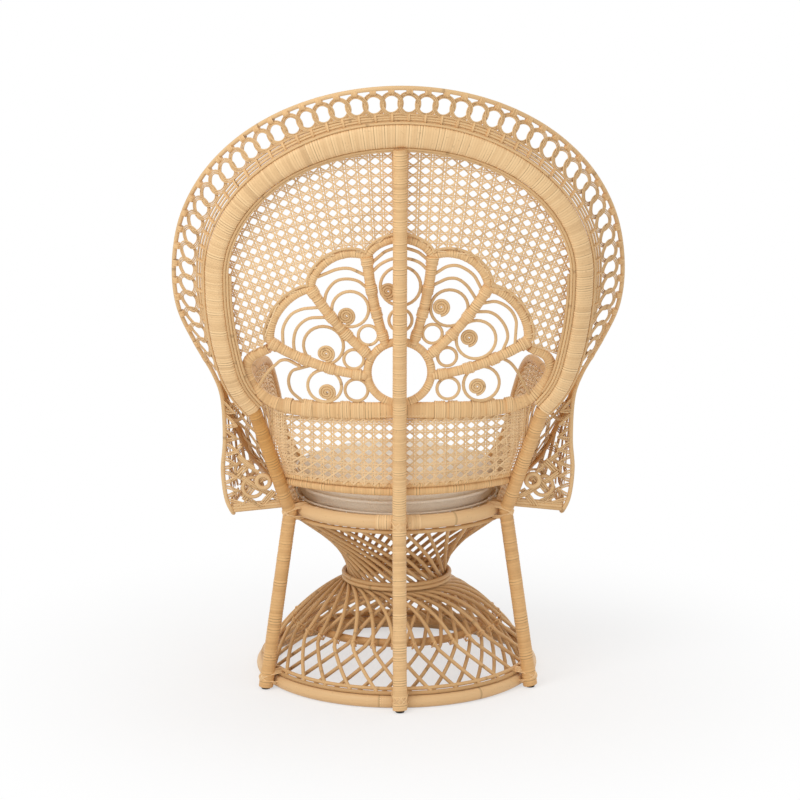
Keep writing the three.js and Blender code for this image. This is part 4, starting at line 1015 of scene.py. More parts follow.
class PEACOCK_OT_rails(PieceOperator, bpy.types.Operator):
    """Wrap the mid rail with its curled ends and the double lower rail"""

    bl_idname = "peacock.rails"
    bl_label = "Rails"

    def execute(self, context):
        line = np.vstack((mirrored(MID_RAIL_HALF[::-1], -1), MID_RAIL_HALF[1:]))
        path = on_back(line[:, 0], line[:, 2], RAIL_FORWARD)
        tall = lerp(mid_rail_tall(line[:, 0]), 23.0, smoothstep(line[:, 2], 800, 870)) / 2
        rail = Strands().add(path, 10.6, tall - 0.6, facing=BACK)
        sweep("mid_rail_wrap", rail, "peel_wrap", ["mid_rail"], 18,
              pitch=sizes().strip_pitch, ridge=0.6, tilt=0.6, jitter=0.9, squareness=0.75, stain=0.22)
        reach = float(frame_half_width(np.array(LOWER_RAIL))) - 14
        x = np.linspace(-reach, reach, 60)
        lower = Strands().add(on_back(x, LOWER_RAIL - 6.5, LOWER_RAIL_FORWARD), 8.0, 10.0, facing=BACK)
        sweep("lower_rail_wrap", lower, "peel_wrap", ["lower_rail"], 12,
              pitch=sizes().strip_pitch, ridge=0.6, tilt=0.4, jitter=0.8, stain=0.3)
        cords = Strands().add(on_back(x, LOWER_RAIL + 10, LOWER_RAIL_FORWARD - 2), 6.0)
        sweep("rail_braid", cords, "peel_wrap", (), 10,
              pitch=BRAID_PITCH, ridge=1.1, tilt=3.4, jitter=0.6, stain=0.3)
        x = np.linspace(-LINER_REACH, LINER_REACH, 60)
        level = MID_RAIL - 24.0 - 4.0 * (x / LINER_REACH) ** 2
        liner = Strands().add(on_back(x, level, RAIL_FORWARD - 7), LINER_ROD)
        z = np.linspace(LOWER_RAIL + 30, MID_RAIL + 6, 30)
        post = frame_half_width(z)
        for _, side in SIDES:
            for share in (0.0, 0.25, 0.5, 0.75, 1.0):
                x = side * lerp(lower_panel_reach(z) - 2, post - 4, share)
                liner.add(on_back(x, z, CANE_FORWARD), 2.8)
        sweep("rail_liner", liner, "rattan_cane", (), 8)
        return {"FINISHED"}


SPOKE_STARTS = (25.0, 60.0, 96.0)
SPOKE_RODS = (10.8, 12.6)
# Bindings on the mid rail: place across and half length
RAIL_BINDINGS = ((0.0, 16.0), (95.0, 13.0), (127.0, 11.0), (180.0, 10.0), (216.0, 12.0), (262.0, 9.0))


def spoke_line(side, notch, start):
    t = np.linspace(0, 1, 20)
    angle, radius = notch
    return fan_point(lerp(HUB_RADIUS + 2, radius + 4, t), side * lerp(start, angle, t**0.75))


def shell_line(petal, out=0.0, forward=FAN_FORWARD):
    t = np.linspace(0, 1, 40)
    return fan_point(petal_radius(petal, t) + out, lerp(petal[0][0], petal[1][0], t), forward)


class PEACOCK_OT_fan(PieceOperator, bpy.types.Operator):
    """Wrap the scalloped shell, the hub and the spokes"""

    bl_idname = "peacock.fan"
    bl_label = "Fan"

    def execute(self, context):
        wrap = dict(pitch=sizes().wrap_pitch, ridge=0.6, tilt=0.7, jitter=0.9, stain=0.16)
        shell, liner = Strands(), Strands()
        for petal in PETALS:
            shell.add(shell_line(petal), SHELL_ROD - 0.6)
            liner.add(shell_line(petal, 13.0, CANE_FORWARD + 1), LINER_ROD)
        sweep("shell_wrap", shell, "peel_wrap", ["shell_outline"], 12, **wrap)
        sweep("shell_liner", liner, "rattan_cane", (), 8)
        hub = fan_point(HUB_RADIUS, np.linspace(-171, 171, 90), RAIL_FORWARD)
        hub = Strands().add(hub, HUB_ROD - 0.4)
        sweep("hub_wrap", hub, "peel_wrap", ["hub_ring"], 12, **wrap)
        spokes, bindings = Strands(), Strands()
        for _, side in SIDES:
            for notch, start in zip(NOTCHES, SPOKE_STARTS):
                line = spoke_line(side, notch, start)
                spokes.add(line, lerp(*SPOKE_RODS, np.linspace(0, 1, len(line))))
                for share in (0.1, 0.36, 0.62, 0.95):
                    spot = Course(line).at(share + np.linspace(-0.045, 0.045, 5))
                    bindings.add(spot, lerp(*SPOKE_RODS, share) + 1.6)
        names = [f"{label}_spoke_{i}" for label, _ in SIDES for i in (1, 2, 3)]
        sweep("spoke_wraps", spokes, "peel_wrap", names, 12, **wrap)
        for x, half in RAIL_BINDINGS:
            for side in (-1, 1) if x else (1,):
                along = side * x + np.linspace(-half, half, 5)
                rail = np.interp(np.abs(along), *zip(*MID_RAIL_CURL[:3]))
                deep = mid_rail_tall(x) / 2 + 1.0
                bindings.add(on_back(along, rail, RAIL_FORWARD), 12.2, deep, facing=BACK)
        sweep("fan_bindings", bindings, "peel_wrap", (), 14,
              pitch=BINDING_PITCH, ridge=1.1, tilt=0.5, jitter=0.9, squareness=0.85, stain=0.12)
        return {"FINISHED"}


# Scrolls of the fan as they lie on the back: circles, tight coils, and arcs through given points
CIRCLES = (
    (115, 974, 43), (178, 884, 47), (176, 784, 40), (-2, 1030, 47), (-116, 976, 44), (-180, 897, 47),
    (-194, 787, 43), (73, 911, 23.5), (107, 852, 23.5), (101, 776, 27), (-2, 948, 27), (-77, 914, 23),
    (-112, 857, 22.5), (-115, 779, 26.5),
)
COIL_REACH, COIL_TURNS, COIL_ROD = 20.4, 3.1, 3.3
COILS = ((125, 957), (173, 864), (171, 768), (28, 1017), (-96, 978), (-162, 902), (-183, 780))
ARCS = (
    ((170, 1060), (145, 1070), (117, 1072), (84, 1058)),
    ((176, 987), (169, 1016), (148, 1041), (123, 1047), (97, 1042), (81, 1030)),
    ((273, 882), (272, 925), (253, 958), (227, 972), (199, 976)),
    ((244, 853), (248, 893), (239, 926), (213, 949), (179, 953)),
    ((233, 746), (255, 767), (261, 795), (252, 818), (233, 826)),
    ((328, 782), (318, 800), (305, 818), (291, 832), (279, 843), (263, 845), (242, 835)),
    ((48, 1101), (33, 1113), (0, 1122), (-41, 1112), (-58, 1099)),
    ((61, 1067), (44, 1083), (14, 1096), (-22, 1095), (-46, 1086), (-67, 1066)),
    ((-91, 1065), (-110, 1076), (-133, 1078), (-157, 1067), (-174, 1052), (-183, 1036)),
    ((-91, 1038), (-112, 1047), (-134, 1046), (-155, 1031), (-170, 1010), (-180, 993)),
    ((-204, 987), (-223, 989), (-242, 982), (-262, 965), (-274, 940), (-274, 912)),
    ((-192, 965), (-209, 964), (-228, 954), (-248, 928), (-255, 900), (-247, 876)),
    ((-245, 847), (-262, 836), (-277, 817), (-300, 772)),
)


def flat_ring(x, z, radius, start=0.0, turns=1.0, end_radius=None):
    count = max(int(28 * turns), 8)
    share = np.linspace(0, 1, count)
    a = start + 2 * np.pi * turns * share
    r = lerp(radius, radius if end_radius is None else end_radius, share)
    return on_back(x + r * np.sin(a), z + r * np.cos(a), FAN_FORWARD)


LONGEST_RUN, SHORT_RUN = 64, 11.0


def run_on(end, way, rods):
    """Point where an arc that runs straight on from its end meets the petal's frame."""
    for reach in range(2, LONGEST_RUN):
        spot = end + reach * way
        if np.hypot(*(rods - spot[::2]).T).min() < SHELL_ROD - 2:
            return spot
    return end + SHORT_RUN * way


class PEACOCK_OT_scrolls(PieceOperator, bpy.types.Operator):
    """Bend the thin scrolls and arcs that fill the petals"""

    bl_idname = "peacock.scrolls"
    bl_label = "Scrolls"

    def execute(self, context):
        canes = Strands()
        for x, z, radius in CIRCLES:
            canes.add(flat_ring(x, z, radius)[:-1], SCROLL_ROD, closed=True)
        for x, z in COILS:
            canes.add(flat_ring(x, z, COIL_REACH, math.pi, COIL_TURNS, 1.4), COIL_ROD)
        rods = [spoke_line(side, *spoke) for _, side in SIDES for spoke in zip(NOTCHES, SPOKE_STARTS)]
        rails = (MID_RAIL_HALF, mirrored(MID_RAIL_HALF, -1))
        rods = np.vstack((*rods, *map(shell_line, PETALS), *rails))[:, ::2]
        for arc in ARCS:
            line = Course([(x, 0, z) for x, z in arc]).spaced(24)
            ends = [run_on(line[i], unit(line[i] - line[j]), rods) for i, j in ((0, 2), (-1, -3))]
            line = np.vstack((ends[0], line, ends[1]))
            canes.add(on_back(line[:, 0], line[:, 2], FAN_FORWARD), SCROLL_ROD)
        sweep("petal_scrolls", canes, "rattan_cane", [f"petal_scroll_{i}" for i in range(1, 8)], 8)
        return {"FINISHED"}


# Cell that the strips' widths are given for, and the level where a fanned weave has its own width
PLAIN_CELL, FAN_LEVEL = 23.6, 1100.0
# Halves of the upper weave: side, pivot that the columns fan out from, share of the set cell's width
UPPER_HALVES = ((1, 200.0, 0.97), (-1, 60.0, 1.03))


def fanned(pivot):
    """Map from a weave's own grid to the back: its columns fan out from a pivot under the panel."""
    def place(a, b):
        radius = b - pivot
        angle = a / (FAN_LEVEL - pivot)
        return on_back(radius * np.sin(angle), pivot + radius * np.cos(angle), CANE_FORWARD)
    return place


def weave_panel(strands, place, inside, cell, low, high, width):
    """Cane webbing: pairs both ways, and diagonals that cross midway between the pairs' crossings."""
    cx, cz = cell
    scale = cx / PLAIN_CELL
    columns = int(width / cx) + 2
    rows = int((high - low) / cz) + 2
    upward = np.arange(low - cz, high + cz, cz / 2)
    lines = []
    for k in range(-columns, columns + 1):
        for pair in (-1, 1):
            a = np.full(upward.shape, (k + 0.5) * cx + pair * 2.5 * scale)
            beat = np.cos(np.pi * ((upward - low) / cz + k + 0.5 * pair))
            lines.append((a, upward, 0.7 * beat, 2.25 * scale))
    for k in range(-1, rows + 1):
        a = np.arange(-width - cx, width + cx, cx / 2)
        for pair in (-1, 1):
            b = np.full(a.shape, low + (k + 0.5) * cz + pair * 2.1 * scale)
            lines.append((a, b, np.full(a.shape, -0.5 * pair), 1.9 * scale))
    for hand in (-1, 1):
        for k in range(-columns - rows, columns + rows + 1):
            a = k * cx + hand * (upward - low - cz / 2) * cx / cz
            lines.append((a, upward, np.full(upward.shape, hand * 1.1), 2.4 * scale))
    for a, b, lift, wide in lines:
        spots = place(a, b)
        for first, last in runs(inside(spots[:, 0], spots[:, 2])):
            part = slice(first, last)
            add_ribbon(strands, place, a[part], b[part], lift[part], PANEL_STEP, wide, 0.55)


class PEACOCK_OT_cane_panels(PieceOperator, bpy.types.Operator):
    """Weave the cane of the upper and the lower back panel"""

    bl_idname = "peacock.cane_panels"
    bl_label = "Cane panels"

    def execute(self, context):
        cell = sizes().cane_cell / MM

        def upper_side(side):
            def inside(x, z):
                degrees = np.degrees(np.arctan2(x, z - HUB_HEIGHT))
                radius = np.hypot(x, z - HUB_HEIGHT)
                within = (radius > shell_radius(degrees) + 4) & (radius < band_inner_radius(degrees))
                above_curl = (np.abs(degrees) < 80) | (z > 884 - 0.62 * (np.abs(x) - 307))
                return within & above_curl & (x * side >= -2)
            return inside

        upper = Strands()
        for side, pivot, share in UPPER_HALVES:
            grid = (share * cell, 0.945 * cell)
            weave_panel(upper, fanned(pivot), upper_side(side), grid, 860.0, 1400.0, 470.0)
        sweep("upper_cane_weave", upper, "woven_cane", ["upper_cane_panel"], 4, **FLAT_STRIP)

        def inside_lower(x, z):
            return (np.abs(x) < lower_panel_reach(z) - 30) & (z > LOWER_RAIL + 8) & (z < MID_RAIL - 12)

        lower = Strands()

        def flat(a, b):
            return on_back(a, b, CANE_FORWARD)

        weave_panel(lower, flat, inside_lower, (1.03 * cell, 0.88 * cell), 540.0, 735.0, 310.0)
        z = np.linspace(LOWER_RAIL + 10, MID_RAIL - 14, 44)
        for side in (-1, 1):
            for k in range(8):
                x = side * (lower_panel_reach(z) - 2 - 4.6 * k)
                lift = 0.8 * np.cos(np.pi * (np.arange(44) + k))
                add_ribbon(lower, flat, x, z, lift, PANEL_STEP, 2.2, 0.6)
            for height in z[::2]:
                x = side * (lower_panel_reach(height) - np.linspace(0, 38, 9))
                add_ribbon(lower, flat, x, np.full(9, height), 0.0, PANEL_STEP, 2.6, 0.6)
        sweep("lower_cane_weave", lower, "woven_cane", ["lower_cane_panel"], 4, **FLAT_STRIP)
        return {"FINISHED"}


# Width that the border's rings are laid out in where it is narrower than this
BORDER_LEAST = 68.0
# How far from the rim the strip of canes beside the band begins
STRIP_EDGE = 58.0
# A ring's middle, from the rim; the canes of one ring; and half its length in pitches, so that rings overlap
RING_INSET, RING_BANDS, RING_LAP = 35.0, (-3.3, 0.0, 3.3), 0.56


class PEACOCK_OT_border(PieceOperator, bpy.types.Operator):
    """Bend the outer rim and the chain of rings between it and the band"""

    bl_idname = "peacock.border"
    bl_label = "Border"

    def execute(self, context):
        sweep("outer_rim_cane", Strands().add(RIM.spaced(360), RIM_ROD), "rattan_cane", ["outer_rim"], 10)
        rim = Course(RIM_HALF).spaced(500)
        rim = rim[rim[:, 2] > BORDER_END_HEIGHT]
        outer = Course(rim, per_span=2).spaced(240)
        edge = Course(BAND_CENTRE + BAND_FACING * (BAND_FACE + 2)[:, None], per_span=2).spaced(900)
        nearest = np.linalg.norm(outer[:, None] - edge[None], axis=2).argmin(axis=1)
        nearest = np.maximum.accumulate(nearest).astype(float)
        padded = np.pad(nearest, 12, mode="reflect", reflect_type="odd")
        nearest = np.convolve(padded, np.full(25, 1 / 25), "valid")
        inner = read_rows(nearest, np.arange(len(edge)), edge)
        shares = np.linspace(0, 1, 240)

        def at(u, v):
            u = np.asarray(u, float)
            side = np.stack((np.where(u < 0, -1.0, 1.0), np.ones_like(u), np.ones_like(u)), axis=-1)
            low, high = (read_rows(np.abs(u), shares, line) for line in (inner, outer))
            return between(low, high, v) * side

        count = sizes().border_loops
        canes, ties = Strands(), Strands()
        step = (4e-3, 1e-2)
        turn = np.linspace(0, 2 * np.pi, 30, endpoint=False)
        pitch = 2.0 / count
        for k in range(count):
            u0 = -1 + (k + 0.5) * pitch
            span = np.linalg.norm((at(u0 - pitch / 2, 0.5) - at(u0 + pitch / 2, 0.5))[::2])
            out = edge_to_edge(at, u0)
            width = max(np.linalg.norm(out[::2]), BORDER_LEAST)
            middle = 1 - RING_INSET / width
            tall = lerp(19.0, 23.5, smoothstep(at(u0, 0.5)[2], 1100, 1440))
            for band in RING_BANDS:
                u = u0 + (RING_LAP + band / span) * pitch * np.cos(turn)
                v = middle + (tall + band) / width * np.sin(turn)
                points, normal = on_surface(at, u, v, 2.4 * np.sin(2 * turn), step)
                way = unit(np.roll(points, -1, axis=0) - np.roll(points, 1, axis=0))
                canes.add(points, 1.75, 1.4, facing=np.cross(normal, way), closed=True)
            strip = width - STRIP_EDGE
            for share, place, wide, deep in (
                (0.17, width - 4.0, 9.0, 6.6), (0.07, strip / 2, (strip + 6.0) / 2, 4.4),
            ):
                tie_u = u0 + np.array((-share, share)) * pitch
                spots = on_surface(at, tie_u, np.full(2, place / width), 0.0, step)[0]
                ties.add(spots, wide, deep, facing=unit(out))
        u = np.linspace(-1, 1, 260)
        width = np.maximum(np.linalg.norm(edge_to_edge(at, u)[:, ::2], axis=-1), BORDER_LEAST)
        for share, wide in ((0.1, 3.2), (0.38, 3.5), (0.66, 3.5), (0.95, 3.2)):
            add_ribbon(canes, at, u, share * (width - STRIP_EDGE) / width, 0.0, step, wide, 2.2)
        sweep("border_rings", canes, "rattan_cane", ["border_loops"], 6)
        sweep("border_ties", ties, "peel_wrap", (), 8, pitch=TIE_PITCH, ridge=0.6, jitter=0.5, stain=0.2)
        return {"FINISHED"}


ARM_RAIL = ((322, 120, 812), (297, -40, 700), (287, -120, 610), (258, -180, 520))
ARM_START, ARM_END_ANGLE = (361.0, 796.0), 135
ARM_ROD, ARM_UPRIGHTS, ARM_ROW = 10.0, 25, 6.0
WING_FOOT_REACH, WING_FOOT_ANGLE = 302.3, 106
WING_POLE = ((428, 185, 768), (400, 125, 672), (358, 55, 565), (325, -20, 505))


def arm_course(side):
    across, height = ARM_START
    start = on_back(side * across, height, RAIL_FORWARD)
    end = around_back(SEAT_HOOP, side * ARM_END_ANGLE, SEAT_HEIGHT)
    return Course([start, *mirrored(ARM_RAIL, side), end])


class PEACOCK_OT_arms(PieceOperator, bpy.types.Operator):
    """Bend the arm rails and weave the inner arm walls"""

    bl_idname = "peacock.arms"
    bl_label = "Arms"

    def execute(self, context):
        for label, side in SIDES:
            rail = arm_course(side)
            top = rail.at(np.linspace(0, 0.965, 90))
            pole = Strands().add(top, ARM_ROD)
            sweep(f"{label}_arm_rail_pole", pole, "smooth_pole", [f"{label}_arm_rail"], 14, stain=0.25)

            def at(u, v):
                foot = around_back(SEAT_HOOP, side * lerp(60.0, 130.0, u), SEAT_HEIGHT + 14)
                return between(foot, rail.at(lerp(0.04, 0.94, u)), v)

            wall = Strands()
            uprights = ARM_UPRIGHTS
            for k in range(uprights):
                u = np.full(12, (k + 0.5) / uprights)
                v = np.linspace(-0.02, 0.98, 12)
                add_ribbon(wall, at, u, v, 0.0, SHARE_STEP, 2.6, 1.2)
            tall = np.linalg.norm(at(np.array(0.2), 1.0) - at(np.array(0.2), 0.0))
            rows = int(tall / ARM_ROW)
            u = np.arange(2 * uprights + 1) / (2 * uprights)
            for k in range(rows):
                v = np.full(u.shape, (k + 0.5) / rows)
                lift = 1.5 * np.cos(np.pi * (u * uprights + k + 0.5))
                add_ribbon(wall, at, u, v, lift, SHARE_STEP, 3.6, 1.6)
            sweep(f"{label}_arm_weave", wall, "woven_cane", [f"{label}_arm_panel"], 4, turned=SQUARE_ON)
        return {"FINISHED"}


LACE_BAND, LACE_ROD, LACE_LOOP = 3, 2.5, 36.0


def trellis(strands, at, length, share, cell, inside=None):
    """Bands of parallel cane that cross at a slant over a surface, one over the other by turns."""
    s = np.linspace(0, 1, 160)
    width = np.linalg.norm(edge_to_edge(at, s), axis=-1)
    pitch = cell * math.sqrt(2)
    way = np.arange(0, length, 4.0)
    full = np.interp(way / length, s, width)
    tall = share * full
    most = tall.max()
    for hand in (-1, 1):
        for k in range(int(-most / pitch) - 1, int((length + most) / pitch) + 2):
            for j in range(LACE_BAND):
                shift = (j - (LACE_BAND - 1) / 2) * 2.2 * LACE_ROD * math.sqrt(2)
                start = k * pitch + shift
                t = way - start if hand > 0 else start - way
                kept = (t >= 0) & (t <= tall)
                if inside:
                    kept &= inside(at(way / length, np.clip(t / full, 0, 1)))
                other = (way + t if hand > 0 else way - t) / pitch
                lift = hand * 1.8 * np.cos(np.pi * (other + k))
                for first, last in runs(kept, 4):
                    part = slice(first, last)
                    u, v = way[part] / length, t[part] / full[part]
                    add_ribbon(strands, at, u, v, lift[part], SHARE_STEP, LACE_ROD, 1.1)


def loops(strands, at, length, reach):
    """Bows of cane that hang side by side from a surface's far edge."""
    count = max(int(length / LACE_LOOP), 1)
    t = np.linspace(0, 1, 18)
    for k in range(count):
        for inset in (0.0, 0.16):
            u = (k + lerp(0.04 + inset, 0.96 - inset, t) + 0.12 * np.sin(2 * np.pi * t)) / count
            width = np.linalg.norm(edge_to_edge(at, u), axis=-1)
            bow = (reach - 30 * inset) * np.maximum(np.sin(np.pi * t), 0) ** 0.6
            v = 1 - np.minimum(bow / width, 0.9)
            add_ribbon(strands, at, u, v, 2.0 * (-1) ** k * np.cos(np.pi * t), SHARE_STEP, 2.3, 1.7)


# How much of the hem and of the rear edge the laces hang from
HEM_SHARE, REAR_SHARE = 0.8, 0.82
# Height of the rear gusset's trellis by its place across, where it stops under the wing pole
UNDER_POLE = ((300, 500), (325, 533), (358, 578), (400, 668), (428, 760))
# Curls in a rear gusset: place across, near and up, radius, half width of the cane
GUSSET_CURLS = (
    (326.0, 182.0, 523.0, 16.0, 5.6),
    (352.0, 168.0, 506.0, 24.0, 4.6),
    (372.0, 158.0, 546.0, 22.0, 4.6),
    (392.0, 158.0, 690.0, 20.0, 4.6),
)


class PEACOCK_OT_wings(PieceOperator, bpy.types.Operator):
    """Bend the wing poles and lace the wings and the rear gussets"""

    bl_idname = "peacock.wings"
    bl_label = "Wings"

    def execute(self, context):
        for label, side in SIDES:
            _, knee, head = side_leg(side)
            foot = around_back(WING_FOOT_REACH, side * WING_FOOT_ANGLE, SEAT_HEIGHT + 8.5)
            pole = Course([*mirrored(WING_POLE, side), foot])
            poles = Strands()
            if side > 0:
                poles.add(pole.spaced(60), 8.6)
            else:
                for shift in (-9.5, 0.0, 9.5):
                    poles.add(pole.spaced(60) + np.array((0.25, 0.8, -0.55)) * shift, 5.0)
            sweep(f"{label}_wing_poles", poles, "smooth_pole", [f"{label}_wing_pole"], 12, stain=0.6)

            def wing(u, v):
                way = lerp(0.05, 1.0, u)
                hem = mirrored(HEM.at(way * HEM_SHARE), side)
                return between(pole.at(way), hem, v)

            def gusset(u, v):
                inner = between(knee, head, lerp(0.1, 0.86, u))
                outer = mirrored(REAR_EDGE.at(u * REAR_SHARE), side)
                return between(inner, outer, v)

            lace = Strands()
            trellis(lace, wing, pole.length, 0.8, 52.0)
            loops(lace, wing, HEM_SHARE * HEM.length, 34.0)
            sweep(f"{label}_wing_trellis", lace, "rattan_cane", [f"{label}_wing_lace"], 6)

            def net(u, v):
                inner = between(head, knee, lerp(0.02, 0.72, u))
                return between(inner, pole.at(lerp(0.1, 0.85, u)), v)

            def under_pole(spots):
                return spots[:, 2] < np.interp(spots[:, 0] * side, *zip(*UNDER_POLE))

            lace = Strands()
            trellis(lace, gusset, 290.0, 0.74, 46.0, under_pole)
            trellis(lace, net, 240.0, 1.0, 40.0)
            loops(lace, gusset, REAR_SHARE * REAR_EDGE.length, 36.0)
            curl = around_back(1.0, np.arange(24) * 15.0, 0.0)[:, [0, 2, 1]]
            for across, near, height, radius, wide in GUSSET_CURLS:
                spot = (side * across, near, height)
                lace.add(curl * radius + spot, wide, 3.2, facing=unit(curl), closed=True)
            hem = between(mirrored(WING_CORNER, side), knee + UP * 14.0, np.linspace(0.02, 0.9, 24))
            for level in (3.0, 10.0, 17.0):
                lace.add(hem + (0.0, 2.0, level), 4.4)
            sweep(f"{label}_gusset_trellis", lace, "rattan_cane", [f"{label}_gusset_lace"], 6)
        return {"FINISHED"}


class PEACOCK_OT_lashings(PieceOperator, bpy.types.Operator):
    """Tie the posts to the hoops with crossed peel"""

    bl_idname = "peacock.lashings"
    bl_label = "Lashings"

    def execute(self, context):
        peel = Strands()
        for aside, hoop, post, pole, z in (
            (SIDE_SEAT_ANGLE, SEAT_HOOP, POST_REACH, SEAT_POLE, SEAT_HEIGHT),
            (SIDE_FOOT_ANGLE, BASE_HOOP, FOOT_REACH - 2, BASE_POLE, FOOT_LASHING),
        ):
            for angle in (0, aside, -aside):
                outward = around_back(1.0, angle, 0.0)
                spot = around_back((hoop + post) / 2, angle, z)
                reach = (post - hoop) / 2 + pole + 1.0
                add_lashing(peel, spot, UP, np.cross(UP, outward), outward, reach)
        sweep("post_lashings", peel, "peel_wrap", (), 6)
        return {"FINISHED"}


class PEACOCK_OT_seat_deck(PieceOperator, bpy.types.Operator):
    """Weave the deck inside the seat hoop"""

    bl_idname = "peacock.seat_deck"
    bl_label = "Seat deck"

    def execute(self, context):
        strips = Strands()
        pitch, reach = DECK_PITCH, SEAT_HOOP - SEAT_POLE + 4
        most = int(reach / pitch)
        for turn in (0, 1):
            for k in range(-most, most + 1):
                half = math.sqrt(max(reach**2 - (k * pitch) ** 2, 0))
                way = np.arange(-half, half + pitch / 4, pitch / 2)
                lift = 1.5 * np.cos(np.pi * (way / pitch + k + turn))
                across = np.full(way.shape, k * pitch)
                flat = (way, across) if turn else (across, way)
                points = np.stack((*flat, DECK_TOP - 4 + lift), axis=-1)
                strips.add(points, 7.6, 0.9, facing=(0, 1, 0) if turn else (1, 0, 0))
        sweep("seat_deck_weave", strips, "woven_cane", ["seat_deck"], 4, **FLAT_STRIP)
        return {"FINISHED"}


CUSHION_PROFILE = (
    (0, 0), (120, 0), (200, 0), (232, 0.6), (243, 3), (247, 8), (249, 20), (250.5, 38), (249, 56), (247, 68),
    (243, 73.5), (232, 76.5), (200, 79), (120, 81), (0, 82),
)
SEAM_HEIGHTS = (8.0, 68.0)
PIPING_REACH, PIPING_ROD = 249.0, 2.7
ZIP_HEIGHT, ZIP_REACH, ZIP_ANGLE = 36.0, 251.2, 62
# How far in the seams hold the cover, over how much height in mm, and how far out that starts
SEAM_REACH, SEAM_SPREAD, SEAM_START = 0.2485, 3.2, 0.2
CLOTH_GRAIN, CLOTH_PRESSURE, CLOTH_FRAMES = 0.006, 4.0, 20


class PEACOCK_OT_cushion(PieceOperator, bpy.types.Operator):
    """Fill the loose round cushion and sew its piping"""

    bl_idname = "peacock.cushion"
    bl_label = "Cushion"

    def execute(self, context):
        centre = np.array((0.0, 0.0, CUSHION_BASE))
        mesh = turned_mesh(CUSHION_PROFILE, centre, 96, "cushion_fabric")
        mesh = swollen(mesh, sizes().cushion_swell)
        low = CUSHION_BASE * MM + SHIFT[2]
        spots = spots_of(mesh)
        reach = np.hypot(spots[:, 0] - SHIFT[0], spots[:, 1] - SHIFT[1])
        for height in SEAM_HEIGHTS:
            near = np.exp(-(((spots[:, 2] - low) / MM - height) / SEAM_SPREAD) ** 2) * (reach > SEAM_START)
            pull = np.minimum(reach, lerp(reach, SEAM_REACH, near)) / np.maximum(reach, 1e-6)
            spots[:, :2] = SHIFT[:2] + (spots[:, :2] - SHIFT[:2]) * pull[:, None]
        spots[:, 2] = np.maximum(spots[:, 2], low)
        mesh.vertices.foreach_set("co", spots.ravel())
        mesh.update()
        cover = placed("cushion_cover", mesh, ["seat_cushion"], "cushion")
        piping = Strands()
        for height in SEAM_HEIGHTS:
            piping.add(ring(PIPING_REACH, CUSHION_BASE + height, 144), PIPING_ROD, closed=True)
        zip_flap = around_back(ZIP_REACH, np.linspace(-ZIP_ANGLE, ZIP_ANGLE, 60), CUSHION_BASE + ZIP_HEIGHT)
        piping.add(zip_flap, 1.1, 3.6, facing=zip_flap * (1, 1, 0))
        sweep("cushion_piping", piping, "cushion_fabric", (), 8,
              pitch=PIPING_PITCH, ridge=0.2, tilt=1.2, body="cushion")
        return {"FINISHED"}


def swollen(mesh, most):
    """Cloth cover blown up from inside, held to a small swell and made finer."""
    scene = bpy.context.scene
    pad = linked("cushion_form", mesh)
    remesh = pad.modifiers.new("remesh", "REMESH")
    remesh.mode = "VOXEL"
    remesh.voxel_size = CLOTH_GRAIN
    form = evaluated_mesh(pad)
    pad.modifiers.clear()
    pad.data = form
    start = spots_of(form)
    cloth = pad.modifiers.new("fill", "CLOTH")
    settings = cloth.settings
    settings.use_pressure = True
    settings.uniform_pressure_force = CLOTH_PRESSURE
    settings.quality = 6
    settings.effector_weights.gravity = 0.0
    cloth.point_cache.frame_start, cloth.point_cache.frame_end = 1, CLOTH_FRAMES
    for number in range(1, CLOTH_FRAMES + 1):
        scene.frame_set(number)
    depsgraph = bpy.context.evaluated_depsgraph_get()
    shift = spots_of(pad.evaluated_get(depsgraph).to_mesh()) - start
    pad.evaluated_get(depsgraph).to_mesh_clear()
    far = np.linalg.norm(shift, axis=1, keepdims=True)
    shift *= np.minimum(1, most / np.maximum(far, 1e-9))
    pad.modifiers.clear()
    scene.frame_set(1)
    form.vertices.foreach_set("co", (start + shift).ravel())
    form.update()
    finer = pad.modifiers.new("finer", "SUBSURF")
    finer.levels = finer.render_levels = 1
    cover = evaluated_mesh(pad)
    bpy.data.objects.remove(pad)
    for polygon in cover.polygons:
        polygon.use_smooth = True
    cover.materials.clear()
    cover.materials.append(finish("cushion_fabric"))
    return cover


CAMERA_REACH, CAMERA_HEIGHT = 6825.0, 2156.0
CAMERA_PITCH, CAMERA_TURN, CAMERA_PAN = 12.17, 1.2, 0.071  # degrees
CAMERA_LENS = 127.2
FLOOR_REACH = 60.0
# Area lamps: name, place, size, power
LAMPS = (("key", (1.9, 2.6, 3.6), 2.2, 60.0), ("front_fill", (-2.4, -2.6, 2.6), 2.6, 25.0))
LAMP_TARGET = (0, 0, 0.75)


def direct_ray(tree):
    """One for rays that show a surface to the camera, straight on or by reflection."""
    rays = node(tree, "ShaderNodeLightPath").outputs
    seen = calc(tree, "MAXIMUM", rays["Is Camera Ray"], rays["Is Glossy Ray"])
    return calc(tree, "MAXIMUM", seen, rays["Is Transmission Ray"])


